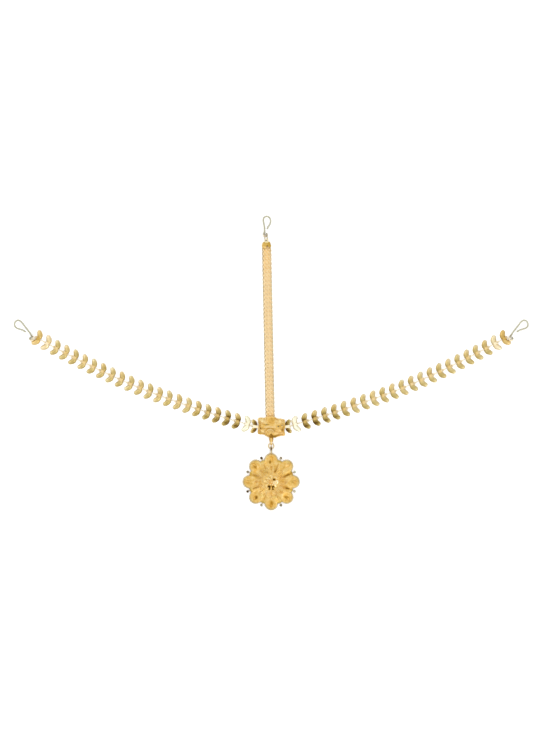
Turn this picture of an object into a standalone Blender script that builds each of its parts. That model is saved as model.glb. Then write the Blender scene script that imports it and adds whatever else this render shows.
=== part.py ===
"""Matha patti: two leaf chains, a woven centre band and a flower pendant on a small plaque.

The jewel lies flat on its back, X to the right, Y up and Z off the surface, in metres.
The origin is the centre of the plaque's flat back.
"""
import math
from typing import NamedTuple

import bmesh
import bpy
from mathutils import Matrix, Vector

MM = 0.001

# Clearances
SEAT_GAP = 0.3 * MM
RING_GAP = 0.3 * MM

# Leaf pairs of the side chains
LEAF_REACH = 5.0 * MM
LEAF_SPAN = 11.6 * MM
LEAF_CROWN = 1.5 * MM
LEAF_WALL = 0.5 * MM
LEAF_EDGE = 0.45 * MM
LINK_PITCH = 7.2 * MM
FIRST_PITCH = 5.0 * MM
LOOSE_PAIRS = 23
INNER_PAIRS = 12
SOLDERED_SCALE = 0.86
SOLDERED_TURN = math.radians(8)

# Tongue with an eye at the crotch of each leaf pair
TONGUE_HOLE = 0.55 * MM
TONGUE_WALL = 0.5 * MM
TONGUE_THICK = 0.5 * MM
EYE_AHEAD = 0.5 * MM
TONGUE_ROOT = 0.85 * MM
SOLDERED_ROOT = -1.6 * MM

# Rings that join the leaf pairs
LINK_WIRE = 0.5 * MM
LINK_HEIGHT = 2.1 * MM
LINK_LIFT = 0.1 * MM
LINK_BITE = 0.4 * MM

# Side chains
CHAIN_START_X = 10.2 * MM
CHAIN_START_Y = 0.5 * MM

# Hooks
HOOK_WIRE = 0.9 * MM
HOOK_EYE = 1.2 * MM
SIDE_HOOK_EYE_START = math.radians(15)
TOP_HOOK_EYE_START = math.radians(-20)
HOOK_EYE_END = math.radians(-270)
SIDE_HOOK_LENGTH = 16.6 * MM
TOP_HOOK_LENGTH = 13.6 * MM
HOOK_WIDTH = 5.4 * MM
SIDE_HOOK_ANGLE = math.radians(46)
TOP_HOOK_ANGLE = math.radians(90)
HOOK_RING_HEIGHT = 2.6 * MM
HOOK_RING_SLACK = 0.7 * MM
HOOK_RING_TURN = math.radians(-46)

# Centre band
BAND_WIDTH = 6.5 * MM
BAND_THICK = 1.2 * MM
BAND_WEAVE = 0.3 * MM
BAND_SCALLOP = 0.35 * MM
BAND_PITCH = 3.0 * MM
BAND_TONGUE_WIDTH = 3.8 * MM
BAND_LEAN = math.radians(1.18)
BAND_FOOT_X = -0.75 * MM
BAND_LENGTH = 118.0 * MM
SOCKET_DEPTH = 2.6 * MM

# Cap on the band's upper end
CAP_WIDTH = 6.8 * MM
CAP_TOP_WIDTH = 4.8 * MM
CAP_LENGTH = 5.6 * MM
CAP_PLATE = 0.6 * MM
CAP_LOBE_THICK = 0.5 * MM
CAP_TOP_WALL = 1.0 * MM
BAND_RING_RADIUS = 2.1 * MM
BAND_RING_WIRE = 0.5 * MM
BAND_RING_TILT = math.radians(55)
BAND_RING_LEAN = math.radians(11)
BAND_RING_OVERLAP = 1.3 * MM
CAP_EYE_HOLE = 0.85 * MM
CAP_EYE_WALL = 0.5 * MM

# Plaque
PLAQUE_WIDTH = 19.0 * MM
PLAQUE_HEIGHT = 14.8 * MM
PLAQUE_THICK = 1.7 * MM
PLAQUE_RELIEF = 0.8 * MM
PLAQUE_HOLE = 0.45 * MM
COVER_WALL = 0.5 * MM
COVER_TAIL = 1.2 * MM
BAR_LENGTH = 8.8 * MM
BAR_MIDDLE = (-1.0 * MM, 0.25 * MM)
BAR_WIDTH = 1.1 * MM
BOSS_LENGTH = 3.4 * MM
BOSS_WIDTH = 2.6 * MM
BOSS_RELIEF = 0.45 * MM
ARCH_MIDDLE = (-0.8 * MM, -4.2 * MM)
ARCH_RADII = (2.2 * MM, 3.6 * MM)
ARCH_WIRE = 0.84 * MM
ARCH_STEPS = 8
STEM_REST = 0.35 * MM

# Upright bails of the plaque and the pendant, and the jump ring between them
BAIL_OPENING = 1.6 * MM
BAIL_WIRE = 1.1 * MM
BAIL_BITE = 0.4 * MM
PENDANT_BAIL_LENGTH = 4.7 * MM
JUMP_RING_DROP = 5.5 * MM
JUMP_RING_RADIUS = 1.9 * MM
JUMP_RING_WIRE = 0.6 * MM

# Pendant
PETALS = 8
PETAL_RADIUS = 4.6 * MM
PETAL_REACH = 20.0 * MM
FIELD_RADIUS = 16.0 * MM
FLOWER_EDGE = 1.3 * MM
FLOWER_DOME = 1.9 * MM
PETAL_RIM = 0.5 * MM
PETAL_GROOVE = 0.5 * MM
DROP_BEAD_LENGTH = 5.0 * MM
DROP_BEAD_WIDTH = 3.0 * MM
DROP_BEAD_HEIGHT = 1.0 * MM
DROP_BEAD_ROOT = 0.4 * MM
BALL_RADIUS = 0.9 * MM
BALL_REACH = 17.9 * MM
BALL_STEM = 0.8 * MM
FLOWER_WALL = 0.9 * MM
FLOWER_BORDER = 3.0 * MM
ROSETTE_RADIUS = 5.0 * MM
ROSETTE_HEIGHT = 2.2 * MM

# Facets
WIRE_SIDES = 5
DOME_SIDES = 8
BALL_SIDES = 6
BALL_ROWS = 4
TONGUE_TURNS = 6
HOLLOW_SIDES = 20
ROSETTE_SIDES = 32
LINK_BEND_STEPS = 4
RING_STEPS = 16
EYE_STEPS = 10


class LeafRow(NamedTuple):
    """One row across a leaf, as shares of the half span, the reach and the crown."""
    across: float
    back: float
    ridge: float
    front: float
    crown: float


LEAF_ROWS = (
    LeafRow(across=0.00, back=0.00, ridge=0.24, front=0.48, crown=0.90),
    LeafRow(across=0.42, back=-0.03, ridge=0.38, front=0.80, crown=1.00),
    LeafRow(across=0.81, back=0.25, ridge=0.62, front=0.97, crown=0.78),
)
LEAF_TIP = (1.00, 0.66)

# Route of the right side chain from the plaque to its last link, in mm from the plaque's centre
SIDE_CHAIN_ROUTE_MM = (
    (15.2, 1.75), (25.2, 4.6), (46.5, 11.2), (67.8, 18.6), (88.9, 26.4),
    (109.9, 35.4), (130.6, 45.2), (151.6, 56.0), (165.2, 63.4),
)

# Bend of a hook from its eye to its free end, as shares of its length and its width
SIDE_HOOK_BEND = (
    (0.11, 0.29), (0.24, 0.39), (0.45, 0.47), (0.64, 0.52), (0.82, 0.57), (0.96, 0.44), (1.00, 0.04),
    (0.95, -0.27), (0.87, -0.44), (0.75, -0.41), (0.64, -0.22), (0.51, -0.03), (0.37, 0.07),
)
TOP_HOOK_BEND = (
    (0.16, 0.11), (0.30, 0.11), (0.49, 0.17), (0.77, 0.28), (0.91, 0.17), (0.97, -0.20),
    (0.90, -0.54), (0.73, -0.68), (0.55, -0.57), (0.43, -0.37), (0.30, -0.24),
)

# Plaque outline, as shares of its half width and half height
PLAQUE_OUTLINE = (
    (-0.97, 0.84), (-0.76, 0.96), (-0.48, 0.92), (-0.36, 1.00), (0.24, 1.00), (0.49, 0.84),
    (1.00, 0.74), (1.04, 0.30), (0.99, -0.27), (1.02, -0.75), (0.73, -0.79), (0.44, -0.90),
    (0.00, -1.00), (-0.26, -0.89), (-0.55, -0.68), (-0.97, -0.60), (-0.96, 0.15),
)

# Stem that drops from the lotus to the bail, half widths and heights in mm from the plaque's centre
STEM_OUTLINE_MM = ((0.6, -10.1), (0.85, -9.6), (1.4, -7.4), (1.5, -6.2), (1.1, -5.1), (0.4, -4.4))

# Bosses of the plaque's wings, as shares of its half width and half height
PLAQUE_BOSSES = ((-0.66, 0.58), (-0.64, -0.30), (0.64, -0.30), (0.66, 0.58))

# Pierced holes of the plaque, as shares of its half width and half height
PLAQUE_HOLES = (
    (-0.77, -0.09), (-0.33, 0.28), (0.52, 0.10), (0.80, 0.21), (0.85, -0.20), (-0.50, -0.30),
)

# Lower edge of the cap's two flaps, as shares of its half width and its length
CAP_FLAPS = ((-0.94, 0.0), (-0.08, 0.0), (0.12, 0.27), (0.55, 0.0), (0.94, 0.0))
CAP_LOBE = ((-0.92, 0.06), (-0.72, -0.10), (-0.36, -0.19), (-0.08, 0.06))
CAP_SHOULDER = 0.27

# Rings of the pendant's surface, from its middle to its edge
FLOWER_RINGS = (0.30, 0.58, 0.84, 0.94, 1.00)

# Spokes of one petal, as shares of the angle from petal to petal
PETAL_SPOKES = (-0.5, -0.41, -0.30, -0.15, 0, 0.15, 0.30, 0.41)

# Rings of the rosette from its foot to its button, as shares of its radius and its height
ROSETTE_RINGS = ((1.0, 0.0), (1.0, 0.25), (0.66, 0.62), (0.42, 0.45), (0.34, 0.86))
ROSETTE_SCALLOP = 0.2


def remove_everything():
    for item in list(bpy.data.objects):
        bpy.data.objects.remove(item, do_unlink=True)


def gold(name, colour, roughness):
    material = bpy.data.materials.new(name)
    material.use_nodes = True
    shader = material.node_tree.nodes["Principled BSDF"]
    shader.inputs["Base Color"].default_value = (*colour, 1.0)
    shader.inputs["Metallic"].default_value = 1.0
    shader.inputs["Roughness"].default_value = roughness
    return material


def add_object(name, mesh_builder, material=None):
    """Make an object from a bmesh with outward faces; without a material it is a hidden tool."""
    bmesh.ops.recalc_face_normals(mesh_builder, faces=mesh_builder.faces)
    mesh = bpy.data.meshes.new(name)
    mesh_builder.to_mesh(mesh)
    mesh_builder.free()
    mesh.shade_smooth()
    mesh.set_sharp_from_angle(angle=math.radians(35))
    item = bpy.data.objects.new(name, mesh)
    bpy.context.scene.collection.objects.link(item)
    if material is None:
        item.hide_render = True
        item.display_type = "WIRE"
    else:
        mesh.materials.append(material)
    return item


def combine(target, tool, operation):
    modifier = target.modifiers.new(tool.name, "BOOLEAN")
    modifier.object = tool
    modifier.operation = operation
    modifier.solver = "EXACT"


def fuse(target, *tools):
    for tool in tools:
        combine(target, tool, "UNION")


def cut(target, *tools):
    for tool in tools:
        combine(target, tool, "DIFFERENCE")


def sweep(builder, points, normal, radius, sides, closed, matrix=Matrix()):
    """Sweep a round wire along points in the plane that has the given normal."""
    normal = Vector(normal).normalized()
    points = [Vector(point) for point in points]
    count = len(points)
    rings = []
    for index, point in enumerate(points):
        before = points[index - 1] if closed or index > 0 else point
        after = points[(index + 1) % count] if closed or index < count - 1 else point
        aside = normal.cross((after - before).normalized())
        ring = []
        for step in range(sides):
            angle = 2 * math.pi * (step + 0.5) / sides
            offset = aside * math.cos(angle) + normal * math.sin(angle)
            ring.append(builder.verts.new(matrix @ (point + offset * radius)))
        rings.append(ring)
    spans = count if closed else count - 1
    for index in range(spans):
        near = rings[index]
        far = rings[(index + 1) % count]
        for step in range(sides):
            turn = (step + 1) % sides
            builder.faces.new((near[step], near[turn], far[turn], far[step]))
    if not closed:
        builder.faces.new(rings[0])
        builder.faces.new(rings[-1])


def circle_points(radius, steps):
    """Points of a circle about the origin, in the XY plane."""
    turns = (2 * math.pi * step / steps for step in range(steps))
    return [Vector((radius * math.cos(turn), radius * math.sin(turn), 0)) for turn in turns]


def prism(builder, outline, low, high, matrix=Matrix()):
    """Extrude a flat outline from one height to another."""
    bottom = [builder.verts.new(matrix @ Vector((x, y, low))) for x, y in outline]
    top = [builder.verts.new(matrix @ Vector((x, y, high))) for x, y in outline]
    builder.faces.new(bottom)
    builder.faces.new(top)
    for index in range(len(outline)):
        turn = (index + 1) % len(outline)
        builder.faces.new((bottom[index], bottom[turn], top[turn], top[index]))


def smooth_curve(points, steps):
    """Catmull-Rom points through the given points."""
    points = [Vector(point) for point in points]
    ends = [2 * points[0] - points[1]] + points + [2 * points[-1] - points[-2]]
    result = []
    for index in range(1, len(ends) - 2):
        a, b, c, d = ends[index - 1:index + 3]
        for step in range(steps):
            t = step / steps
            linear = b * 2 + (c - a) * t
            bend = (2 * a - 5 * b + 4 * c - d) * t ** 2 + (3 * b - a - 3 * c + d) * t ** 3
            result.append((linear + bend) / 2)
    result.append(points[-1])
    return result


class Route:
    """A curve in the plane that is read by the length along it."""

    def __init__(self, points):
        self.points = points
        self.lengths = [0.0]
        for before, after in zip(points, points[1:]):
            self.lengths.append(self.lengths[-1] + (after - before).length)

    def at(self, length):
        index = 1
        while index < len(self.points) - 1 and self.lengths[index] < length:
            index += 1
        before, after = self.points[index - 1], self.points[index]
        share = (length - self.lengths[index - 1]) / (self.lengths[index] - self.lengths[index - 1])
        return before.lerp(after, share)


def side_route(side):
    points = [(CHAIN_START_X, CHAIN_START_Y)]
    points += [(x * MM, y * MM) for x, y in SIDE_CHAIN_ROUTE_MM]
    curve = smooth_curve([Vector((side * x, y)) for x, y in points], steps=12)
    return Route(curve)


def link_matrix(route, length, scale=1.0):
    """Place a link with its apex at a length along the route, opening outward."""
    start = route.at(length)
    end = route.at(length + LEAF_REACH)
    heading = end - start
    turn = math.atan2(heading.y, heading.x)
    place = Matrix.Translation((start.x, start.y, 0))
    return place @ Matrix.Rotation(turn, 4, "Z") @ Matrix.Diagonal((scale, scale, 1.0, 1.0))


def leaf_pair(builder, matrix):
    """Two domed leaves that meet at the apex, hollow beneath, with a wall of even thickness."""
    half_span = LEAF_SPAN / 2

    def point(along, across, height):
        return builder.verts.new(matrix @ Vector((along * LEAF_REACH, across * half_span, height)))

    def half(side, top_side):
        rows = []
        for row in LEAF_ROWS:
            if row.across == 0 and side < 0:
                rows.append(shared[top_side])
                continue
            crown = row.crown * LEAF_CROWN
            rim = LEAF_EDGE if top_side else 0.0
            middle = crown if top_side else crown - LEAF_WALL
            verts = (point(row.back, side * row.across, rim),
                     point(row.ridge, side * row.across, middle),
                     point(row.front, side * row.across, rim))
            if row.across == 0:
                shared[top_side] = verts
            rows.append(verts)
        tip = point(LEAF_TIP[1], side * LEAF_TIP[0], LEAF_EDGE if top_side else 0.0)
        for near, far in zip(rows, rows[1:]):
            builder.faces.new((near[0], far[0], far[1], near[1]))
            builder.faces.new((near[1], far[1], far[2], near[2]))
        builder.faces.new((rows[-1][0], tip, rows[-1][1]))
        builder.faces.new((rows[-1][1], tip, rows[-1][2]))
        back = [row[0] for row in rows] + [tip]
        front = [row[2] for row in rows] + [tip]
        return back, front

    shared = {}
    for side in (1, -1):
        upper = half(side, True)
        lower = half(side, False)
        for high, low in zip(upper, lower):
            for index in range(len(high) - 1):
                builder.faces.new((high[index], high[index + 1], low[index + 1], low[index]))


def crotch_place(scale=1.0):
    """Distance from a pair's apex to where its leaves part."""
    return LEAF_ROWS[0].front * LEAF_REACH * scale


def eye_place(scale=1.0):
    """Distance from a pair's apex to the middle of the eye in its tongue."""
    return crotch_place(scale) + EYE_AHEAD + TONGUE_HOLE


def link_middle():
    """Height of the tongues, halfway up the rings that pass through them."""
    return LINK_LIFT + LINK_HEIGHT / 2


def tongue(builder, matrix, root, scale=1.0):
    """Flat tongue that runs from its root round the eye's far side."""
    width = TONGUE_HOLE + TONGUE_WALL
    middle = eye_place(scale)
    outline = [(root, -width), (root, width)]
    for step in range(TONGUE_TURNS + 1):
        turn = math.pi / 2 - math.pi * step / TONGUE_TURNS
        outline.append((middle + width * math.cos(turn), width * math.sin(turn)))
    low = link_middle() - TONGUE_THICK / 2
    prism(builder, outline, low, low + TONGUE_THICK, matrix)


def eye_hole(builder, matrix, scale=1.0):
    hole = Matrix.Translation((eye_place(scale), 0, 0))
    outline = [point.xy for point in circle_points(TONGUE_HOLE, EYE_STEPS)]
    prism(builder, outline, 0, LINK_HEIGHT, matrix @ hole)


def standing_ring(builder, start, end, wire, height, middle):
    """Upright ring with round ends, whose wire passes through two points in the plane."""
    heading = (end - start).xy
    bend = (height - wire) / 2
    points = []
    for share, first in ((0, math.pi / 2), (heading.length, -math.pi / 2)):
        inset = bend if share == 0 else -bend
        for step in range(LINK_BEND_STEPS + 1):
            turn = first + math.pi * step / LINK_BEND_STEPS
            points.append((share + inset + bend * math.cos(turn), 0, bend * math.sin(turn)))
    place = Matrix.Translation((start.x, start.y, middle))
    turned = place @ Matrix.Rotation(math.atan2(heading.y, heading.x), 4, "Z")
    sweep(builder, points, (0, 1, 0), wire / 2, WIRE_SIDES, True, turned)


def pair_length(number):
    """Length along the route to a pair's apex; pair 0 is soldered to the plaque."""
    return 0.0 if number == 0 else FIRST_PITCH + (number - 1) * LINK_PITCH


def pair_scale(number):
    return SOLDERED_SCALE if number == 0 else 1.0


def pair_matrix(route, number):
    place = link_matrix(route, pair_length(number), pair_scale(number))
    if number > 0:
        return place
    turn = -SOLDERED_TURN if place.translation.x > 0 else SOLDERED_TURN
    return place @ Matrix.Rotation(turn, 4, "Z")


def unscaled(matrix):
    return Matrix.Translation(matrix.translation) @ matrix.to_quaternion().to_matrix().to_4x4()


def eye_centre(route, number):
    """Middle of the eye behind a pair, in the plane."""
    place = unscaled(pair_matrix(route, number))
    return place @ Vector((eye_place(pair_scale(number)), 0, 0))


def leaf_chain(name, side, first, last, material):
    """Loose pairs from first to last, fused to the rings that hang each on the one before it."""
    route = side_route(side)
    pairs, rings, end_tongue, end_hole = (bmesh.new() for _ in range(4))
    for number in range(first, last + 1):
        place = pair_matrix(route, number)
        leaf_pair(pairs, place)
        apex = place @ Vector((LINK_BITE, 0, 0))
        if number == first:
            hung_on = eye_centre(route, number - 1)
        else:
            hung_on = pair_matrix(route, number - 1) @ Vector((crotch_place() - LINK_BITE, 0, 0))
        standing_ring(rings, hung_on, apex, LINK_WIRE, LINK_HEIGHT, link_middle())
    tongue(end_tongue, pair_matrix(route, last), TONGUE_ROOT)
    eye_hole(end_hole, pair_matrix(route, last))
    chain = add_object(name, pairs, material)
    fuse(chain, add_object(name + "_rings", rings), add_object(name + "_tongue", end_tongue))
    cut(chain, add_object(name + "_eye", end_hole))


def hook(name, place, length, bend, bend_side, eye_start, material):
    """Wire hook in its own plane: an eye round the origin, a leg, and the loop back to its free end."""
    points = []
    for step in range(EYE_STEPS + 1):
        turn = eye_start + (HOOK_EYE_END - eye_start) * step / EYE_STEPS
        points.append((HOOK_EYE * math.cos(turn), bend_side * HOOK_EYE * math.sin(turn), 0))
    leg = [(0, HOOK_EYE, 0)]
    leg += [(along * length, across * HOOK_WIDTH, 0) for along, across in bend]
    curve = smooth_curve([(x, bend_side * y, z) for x, y, z in leg], steps=2)
    points += curve[1:]
    builder = bmesh.new()
    sweep(builder, points, (0, 0, 1), HOOK_WIRE / 2, WIRE_SIDES, False)
    item = add_object(name, builder, material)
    item.matrix_world = place


def hook_place(eye, eye_height, angle, length):
    """Lay a hook from its eye down to its far end, which rests on the surface."""
    drop = math.atan2(eye_height - HOOK_WIRE / 2, length)
    turned = Matrix.Rotation(angle, 4, "Z") @ Matrix.Rotation(drop, 4, "Y")
    return Matrix.Translation((eye.x, eye.y, eye_height)) @ turned


def side_hook(side, material):
    route = side_route(side)
    last = eye_centre(route, LOOSE_PAIRS)
    heading = (last.xy - route.at(pair_length(LOOSE_PAIRS))).normalized()
    reach = TONGUE_HOLE + TONGUE_WALL + HOOK_EYE + HOOK_WIRE / 2 + HOOK_RING_SLACK
    turned = Matrix.Rotation(side * HOOK_RING_TURN, 2) @ heading
    eye = last.xy + turned * reach
    middle = LINK_LIFT + HOOK_RING_HEIGHT / 2
    label = "right" if side > 0 else "left"
    rings = bmesh.new()
    standing_ring(rings, last, Vector((eye.x, eye.y, 0)), LINK_WIRE, HOOK_RING_HEIGHT, middle)
    add_object(label + "_hook_ring", rings, material)
    angle = SIDE_HOOK_ANGLE if side > 0 else math.pi - SIDE_HOOK_ANGLE
    place = hook_place(eye, middle, angle, SIDE_HOOK_LENGTH)
    hook(label + "_hook", place, SIDE_HOOK_LENGTH, SIDE_HOOK_BEND, side, SIDE_HOOK_EYE_START,
         material)


def plaque_socket():
    """Top middle of the plaque, where the band comes out of it."""
    return Vector((BAND_FOOT_X, PLAQUE_HEIGHT / 2, 0))


def band_matrix():
    """Band frame: its middle line is +Y, and its origin is the plaque's top edge."""
    return Matrix.Translation(plaque_socket()) @ Matrix.Rotation(BAND_LEAN, 4, "Z")


def band_tongue_length():
    return SOCKET_DEPTH - SEAT_GAP


def band(material):
    """Flat woven chain as one solid, with its bosses in three staggered columns and scalloped edges."""
    repeats = round(BAND_LENGTH / BAND_PITCH)
    half_pitch = BAND_LENGTH / repeats / 2
    tongue_half = BAND_TONGUE_WIDTH / 2
    rows = [(-band_tongue_length(), tongue_half, 0, 0), (0.0, tongue_half, 0, 0)]
    for step in range(2 * repeats + 1):
        wide = step % 2
        edge = BAND_WIDTH / 2 - (0 if wide else BAND_SCALLOP)
        rows.append((SEAT_GAP + step * half_pitch, edge, 1 - wide, wide))
    cap_start = SEAT_GAP + BAND_LENGTH
    rows += [(cap_start + SEAT_GAP, tongue_half, 0, 0),
             (cap_start + CAP_LENGTH / 2 - SEAT_GAP, tongue_half, 0, 0)]
    builder = bmesh.new()
    sections = []
    low = BAND_THICK - BAND_WEAVE
    for along, half, middle_up, side_up in rows:
        profile = ((-half, 0), (-half * 0.7, low + side_up * BAND_WEAVE),
                   (0, low + middle_up * BAND_WEAVE), (half * 0.7, low + side_up * BAND_WEAVE),
                   (half, 0))
        sections.append([builder.verts.new((x, along, z)) for x, z in profile])
    for near, far in zip(sections, sections[1:]):
        for index in range(len(near)):
            turn = (index + 1) % len(near)
            builder.faces.new((near[index], near[turn], far[turn], far[index]))
    builder.faces.new(sections[0])
    builder.faces.new(sections[-1])
    item = add_object("band", builder, material)
    item.matrix_world = band_matrix()


def cap_floor():
    """Where the cap's socket starts along the band."""
    return SEAT_GAP + BAND_LENGTH + SEAT_GAP / 2


def cap_top():
    return cap_floor() + CAP_LENGTH / 2 + CAP_TOP_WALL


def cap_eye():
    """Middle of the cap's eye along the band."""
    return cap_top() + CAP_EYE_HOLE + SEAT_GAP


def band_ring_height():
    return BAND_RING_RADIUS * math.sin(BAND_RING_TILT) + BAND_RING_WIRE / 2


def socket_cutter(name, start, length, place):
    """Slot open at the back that takes the band's tongue with a gap all round."""
    half = BAND_TONGUE_WIDTH / 2 + SEAT_GAP
    builder = bmesh.new()
    outline = ((-half, start), (half, start), (half, start + length), (-half, start + length))
    prism(builder, outline, -BAND_THICK, BAND_THICK + SEAT_GAP, place)
    return add_object(name, builder)


def cap_outline(shares):
    """Points of the cap from shares of its half width and its length above its floor."""
    floor = cap_floor()
    return [(x * CAP_WIDTH / 2, floor + y * CAP_LENGTH) for x, y in shares]


def band_end_cap(material):
    """Crimp over the band's end: two flaps with side walls, and an eye on top."""
    place = band_matrix()
    floor = cap_floor()
    top = cap_top()
    narrow = CAP_TOP_WIDTH / 2
    walls = bmesh.new()
    outline = cap_outline(CAP_FLAPS + ((1.0, CAP_SHOULDER),))
    outline += [(narrow, top), (-narrow, top)]
    outline += cap_outline(((-1.0, CAP_SHOULDER),))
    plate_low = BAND_THICK + SEAT_GAP
    prism(walls, outline, 0, plate_low + CAP_PLATE, place)
    cap = add_object("band_end_cap", walls, material)
    lobe = bmesh.new()
    prism(lobe, cap_outline(CAP_LOBE), plate_low, plate_low + CAP_LOBE_THICK, place)
    fuse(cap, add_object("cap_lobe", lobe))
    cut(cap, socket_cutter("cap_socket", floor - SEAT_GAP, CAP_LENGTH / 2 + SEAT_GAP, place))
    eye = bmesh.new()
    width = CAP_EYE_HOLE + CAP_EYE_WALL
    middle = cap_eye()
    tab = [(-width, top - CAP_TOP_WALL / 2), (width, top - CAP_TOP_WALL / 2)]
    for step in range(TONGUE_TURNS + 1):
        turn = math.pi * step / TONGUE_TURNS
        tab.append((width * math.cos(turn), middle + width * math.sin(turn)))
    low = band_ring_height() - TONGUE_THICK / 2
    prism(eye, tab, low, low + TONGUE_THICK, place)
    fuse(cap, add_object("cap_eye", eye))
    hole = bmesh.new()
    outline = [point.xy + Vector((0, middle)) for point in circle_points(CAP_EYE_HOLE, EYE_STEPS)]
    prism(hole, outline, 0, 2 * low, place)
    cut(cap, add_object("cap_eye_hole", hole))


def band_ring_and_top_hook(ring_material, hook_material):
    """Leaning ring through the cap's eye, and the hook whose eye hangs on it."""
    height = band_ring_height()
    heading = Vector((-math.sin(BAND_RING_LEAN), math.cos(BAND_RING_LEAN), 0))
    from_cap = BAND_RING_RADIUS - BAND_RING_OVERLAP + CAP_EYE_HOLE + CAP_EYE_WALL / 2
    ring_middle = band_matrix() @ Vector((0, cap_eye(), height)) + heading * from_cap
    builder = bmesh.new()
    points = circle_points(BAND_RING_RADIUS, RING_STEPS)
    turned = Matrix.Rotation(BAND_RING_LEAN, 4, "Z") @ Matrix.Rotation(BAND_RING_TILT, 4, "Y")
    place = Matrix.Translation(ring_middle) @ turned
    sweep(builder, points, (0, 0, 1), BAND_RING_WIRE / 2, WIRE_SIDES, True, place)
    add_object("band_ring", builder, ring_material)
    to_hook = BAND_RING_RADIUS - BAND_RING_OVERLAP + HOOK_EYE
    eye = ring_middle + heading * to_hook
    place = hook_place(eye, height, TOP_HOOK_ANGLE, TOP_HOOK_LENGTH)
    hook("top_hook", place, TOP_HOOK_LENGTH, TOP_HOOK_BEND, 1, TOP_HOOK_EYE_START, hook_material)


def close_rings(builder, rings):
    """Join neighbouring rings of equal count with four-sided faces."""
    for near, far in zip(rings, rings[1:]):
        for index in range(len(near)):
            turn = (index + 1) % len(near)
            builder.faces.new((near[index], near[turn], far[turn], far[index]))


def close_top(builder, ring, top):
    """Close a ring with a fan of faces round its top point."""
    for index in range(len(ring)):
        builder.faces.new((ring[index], ring[(index + 1) % len(ring)], top))


def dome(builder, middle, across, along, low, high, matrix=Matrix()):
    """Low oval boss with a flat foot below its rim."""
    rings = []
    for share, height in ((1.0, low), (0.92, low + (high - low) * 0.6), (0.55, low + (high - low) * 0.93)):
        ring = []
        for point in circle_points(share, DOME_SIDES):
            place = Vector((middle[0] + point.x * across, middle[1] + point.y * along, height))
            ring.append(builder.verts.new(matrix @ place))
        rings.append(ring)
    top = builder.verts.new(matrix @ Vector((middle[0], middle[1], high)))
    builder.faces.new(rings[0])
    close_rings(builder, rings)
    close_top(builder, rings[-1], top)


def jump_ring_middle():
    """Middle of the pendant's jump ring, at half the height of the bails."""
    return Vector((0, -PLAQUE_HEIGHT / 2 - JUMP_RING_DROP, BAIL_OPENING / 2 + BAIL_WIRE))


def bail_reach():
    """Distance from the jump ring's wire to the bail's wire inside it."""
    return JUMP_RING_WIRE / 2 + RING_GAP + BAIL_WIRE / 2


def bail(builder, upper, lower):
    """Upright bail across the jump ring, between two places of its wire along Y."""
    height = BAIL_OPENING + 2 * BAIL_WIRE
    standing_ring(builder, Vector((0, upper, 0)), Vector((0, lower, 0)), BAIL_WIRE, height,
                  jump_ring_middle().z)


def plaque_relief(top):
    """Cover over the band's end, the bar below it and the bosses of the wings."""
    half_width = PLAQUE_WIDTH / 2
    half_height = PLAQUE_HEIGHT / 2
    sunk = PLAQUE_THICK * 0.6
    cover = bmesh.new()
    half = BAND_TONGUE_WIDTH / 2 + SEAT_GAP + COVER_WALL
    low = half_height - SOCKET_DEPTH - COVER_TAIL
    outline = ((-half, low), (half, low), (half, half_height), (-half, half_height))
    prism(cover, outline, sunk, top, Matrix.Translation((BAND_FOOT_X, 0, 0)))
    bar = bmesh.new()
    left, right = BAR_MIDDLE[0] - BAR_LENGTH / 2, BAR_MIDDLE[0] + BAR_LENGTH / 2
    low, high = BAR_MIDDLE[1] - BAR_WIDTH / 2, BAR_MIDDLE[1] + BAR_WIDTH / 2
    prism(bar, ((left, low), (right, low), (right, high), (left, high)), sunk, top)
    bosses = bmesh.new()
    for x, y in PLAQUE_BOSSES:
        dome(bosses, (x * half_width, y * half_height), BOSS_LENGTH / 2, BOSS_WIDTH / 2, sunk,
             PLAQUE_THICK + BOSS_RELIEF)
    return (add_object("plaque_cover", cover), add_object("plaque_bar", bar),
            add_object("plaque_bosses", bosses))


def plaque_lotus(top):
    """Double arch, the stem below it and the bail at the stem's end."""
    arch = bmesh.new()
    for radius in ARCH_RADII:
        points = []
        for step in range(ARCH_STEPS):
            turn = math.pi * (step + 0.5) / ARCH_STEPS
            points.append((ARCH_MIDDLE[0] + radius * math.cos(turn),
                           ARCH_MIDDLE[1] + radius * math.sin(turn), PLAQUE_THICK))
        sweep(arch, points, (0, 0, 1), ARCH_WIRE / 2, WIRE_SIDES, False)
    stem = bmesh.new()
    outline = [(x * MM, y * MM) for x, y in STEM_OUTLINE_MM]
    outline += [(-x * MM, y * MM) for x, y in reversed(STEM_OUTLINE_MM)]
    prism(stem, outline, STEM_REST, top)
    lower_bail = bmesh.new()
    bail_end = jump_ring_middle().y + JUMP_RING_RADIUS - bail_reach()
    bail(lower_bail, -PLAQUE_HEIGHT / 2 * 0.9, bail_end)
    return (add_object("plaque_arch", arch), add_object("plaque_stem", stem),
            add_object("plaque_bail", lower_bail))


def soldered_pairs():
    """The first pair of each side with its tongue, and the tool that pierces both eyes."""
    pairs, tongues, holes = (bmesh.new() for _ in range(3))
    for side in (-1, 1):
        place = pair_matrix(side_route(side), 0)
        leaf_pair(pairs, place)
        tongue(tongues, unscaled(place), SOLDERED_ROOT, SOLDERED_SCALE)
        eye_hole(holes, unscaled(place), SOLDERED_SCALE)
    solids = (add_object("soldered_pairs", pairs), add_object("soldered_tongues", tongues))
    return solids, add_object("soldered_eyes", holes)


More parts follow.
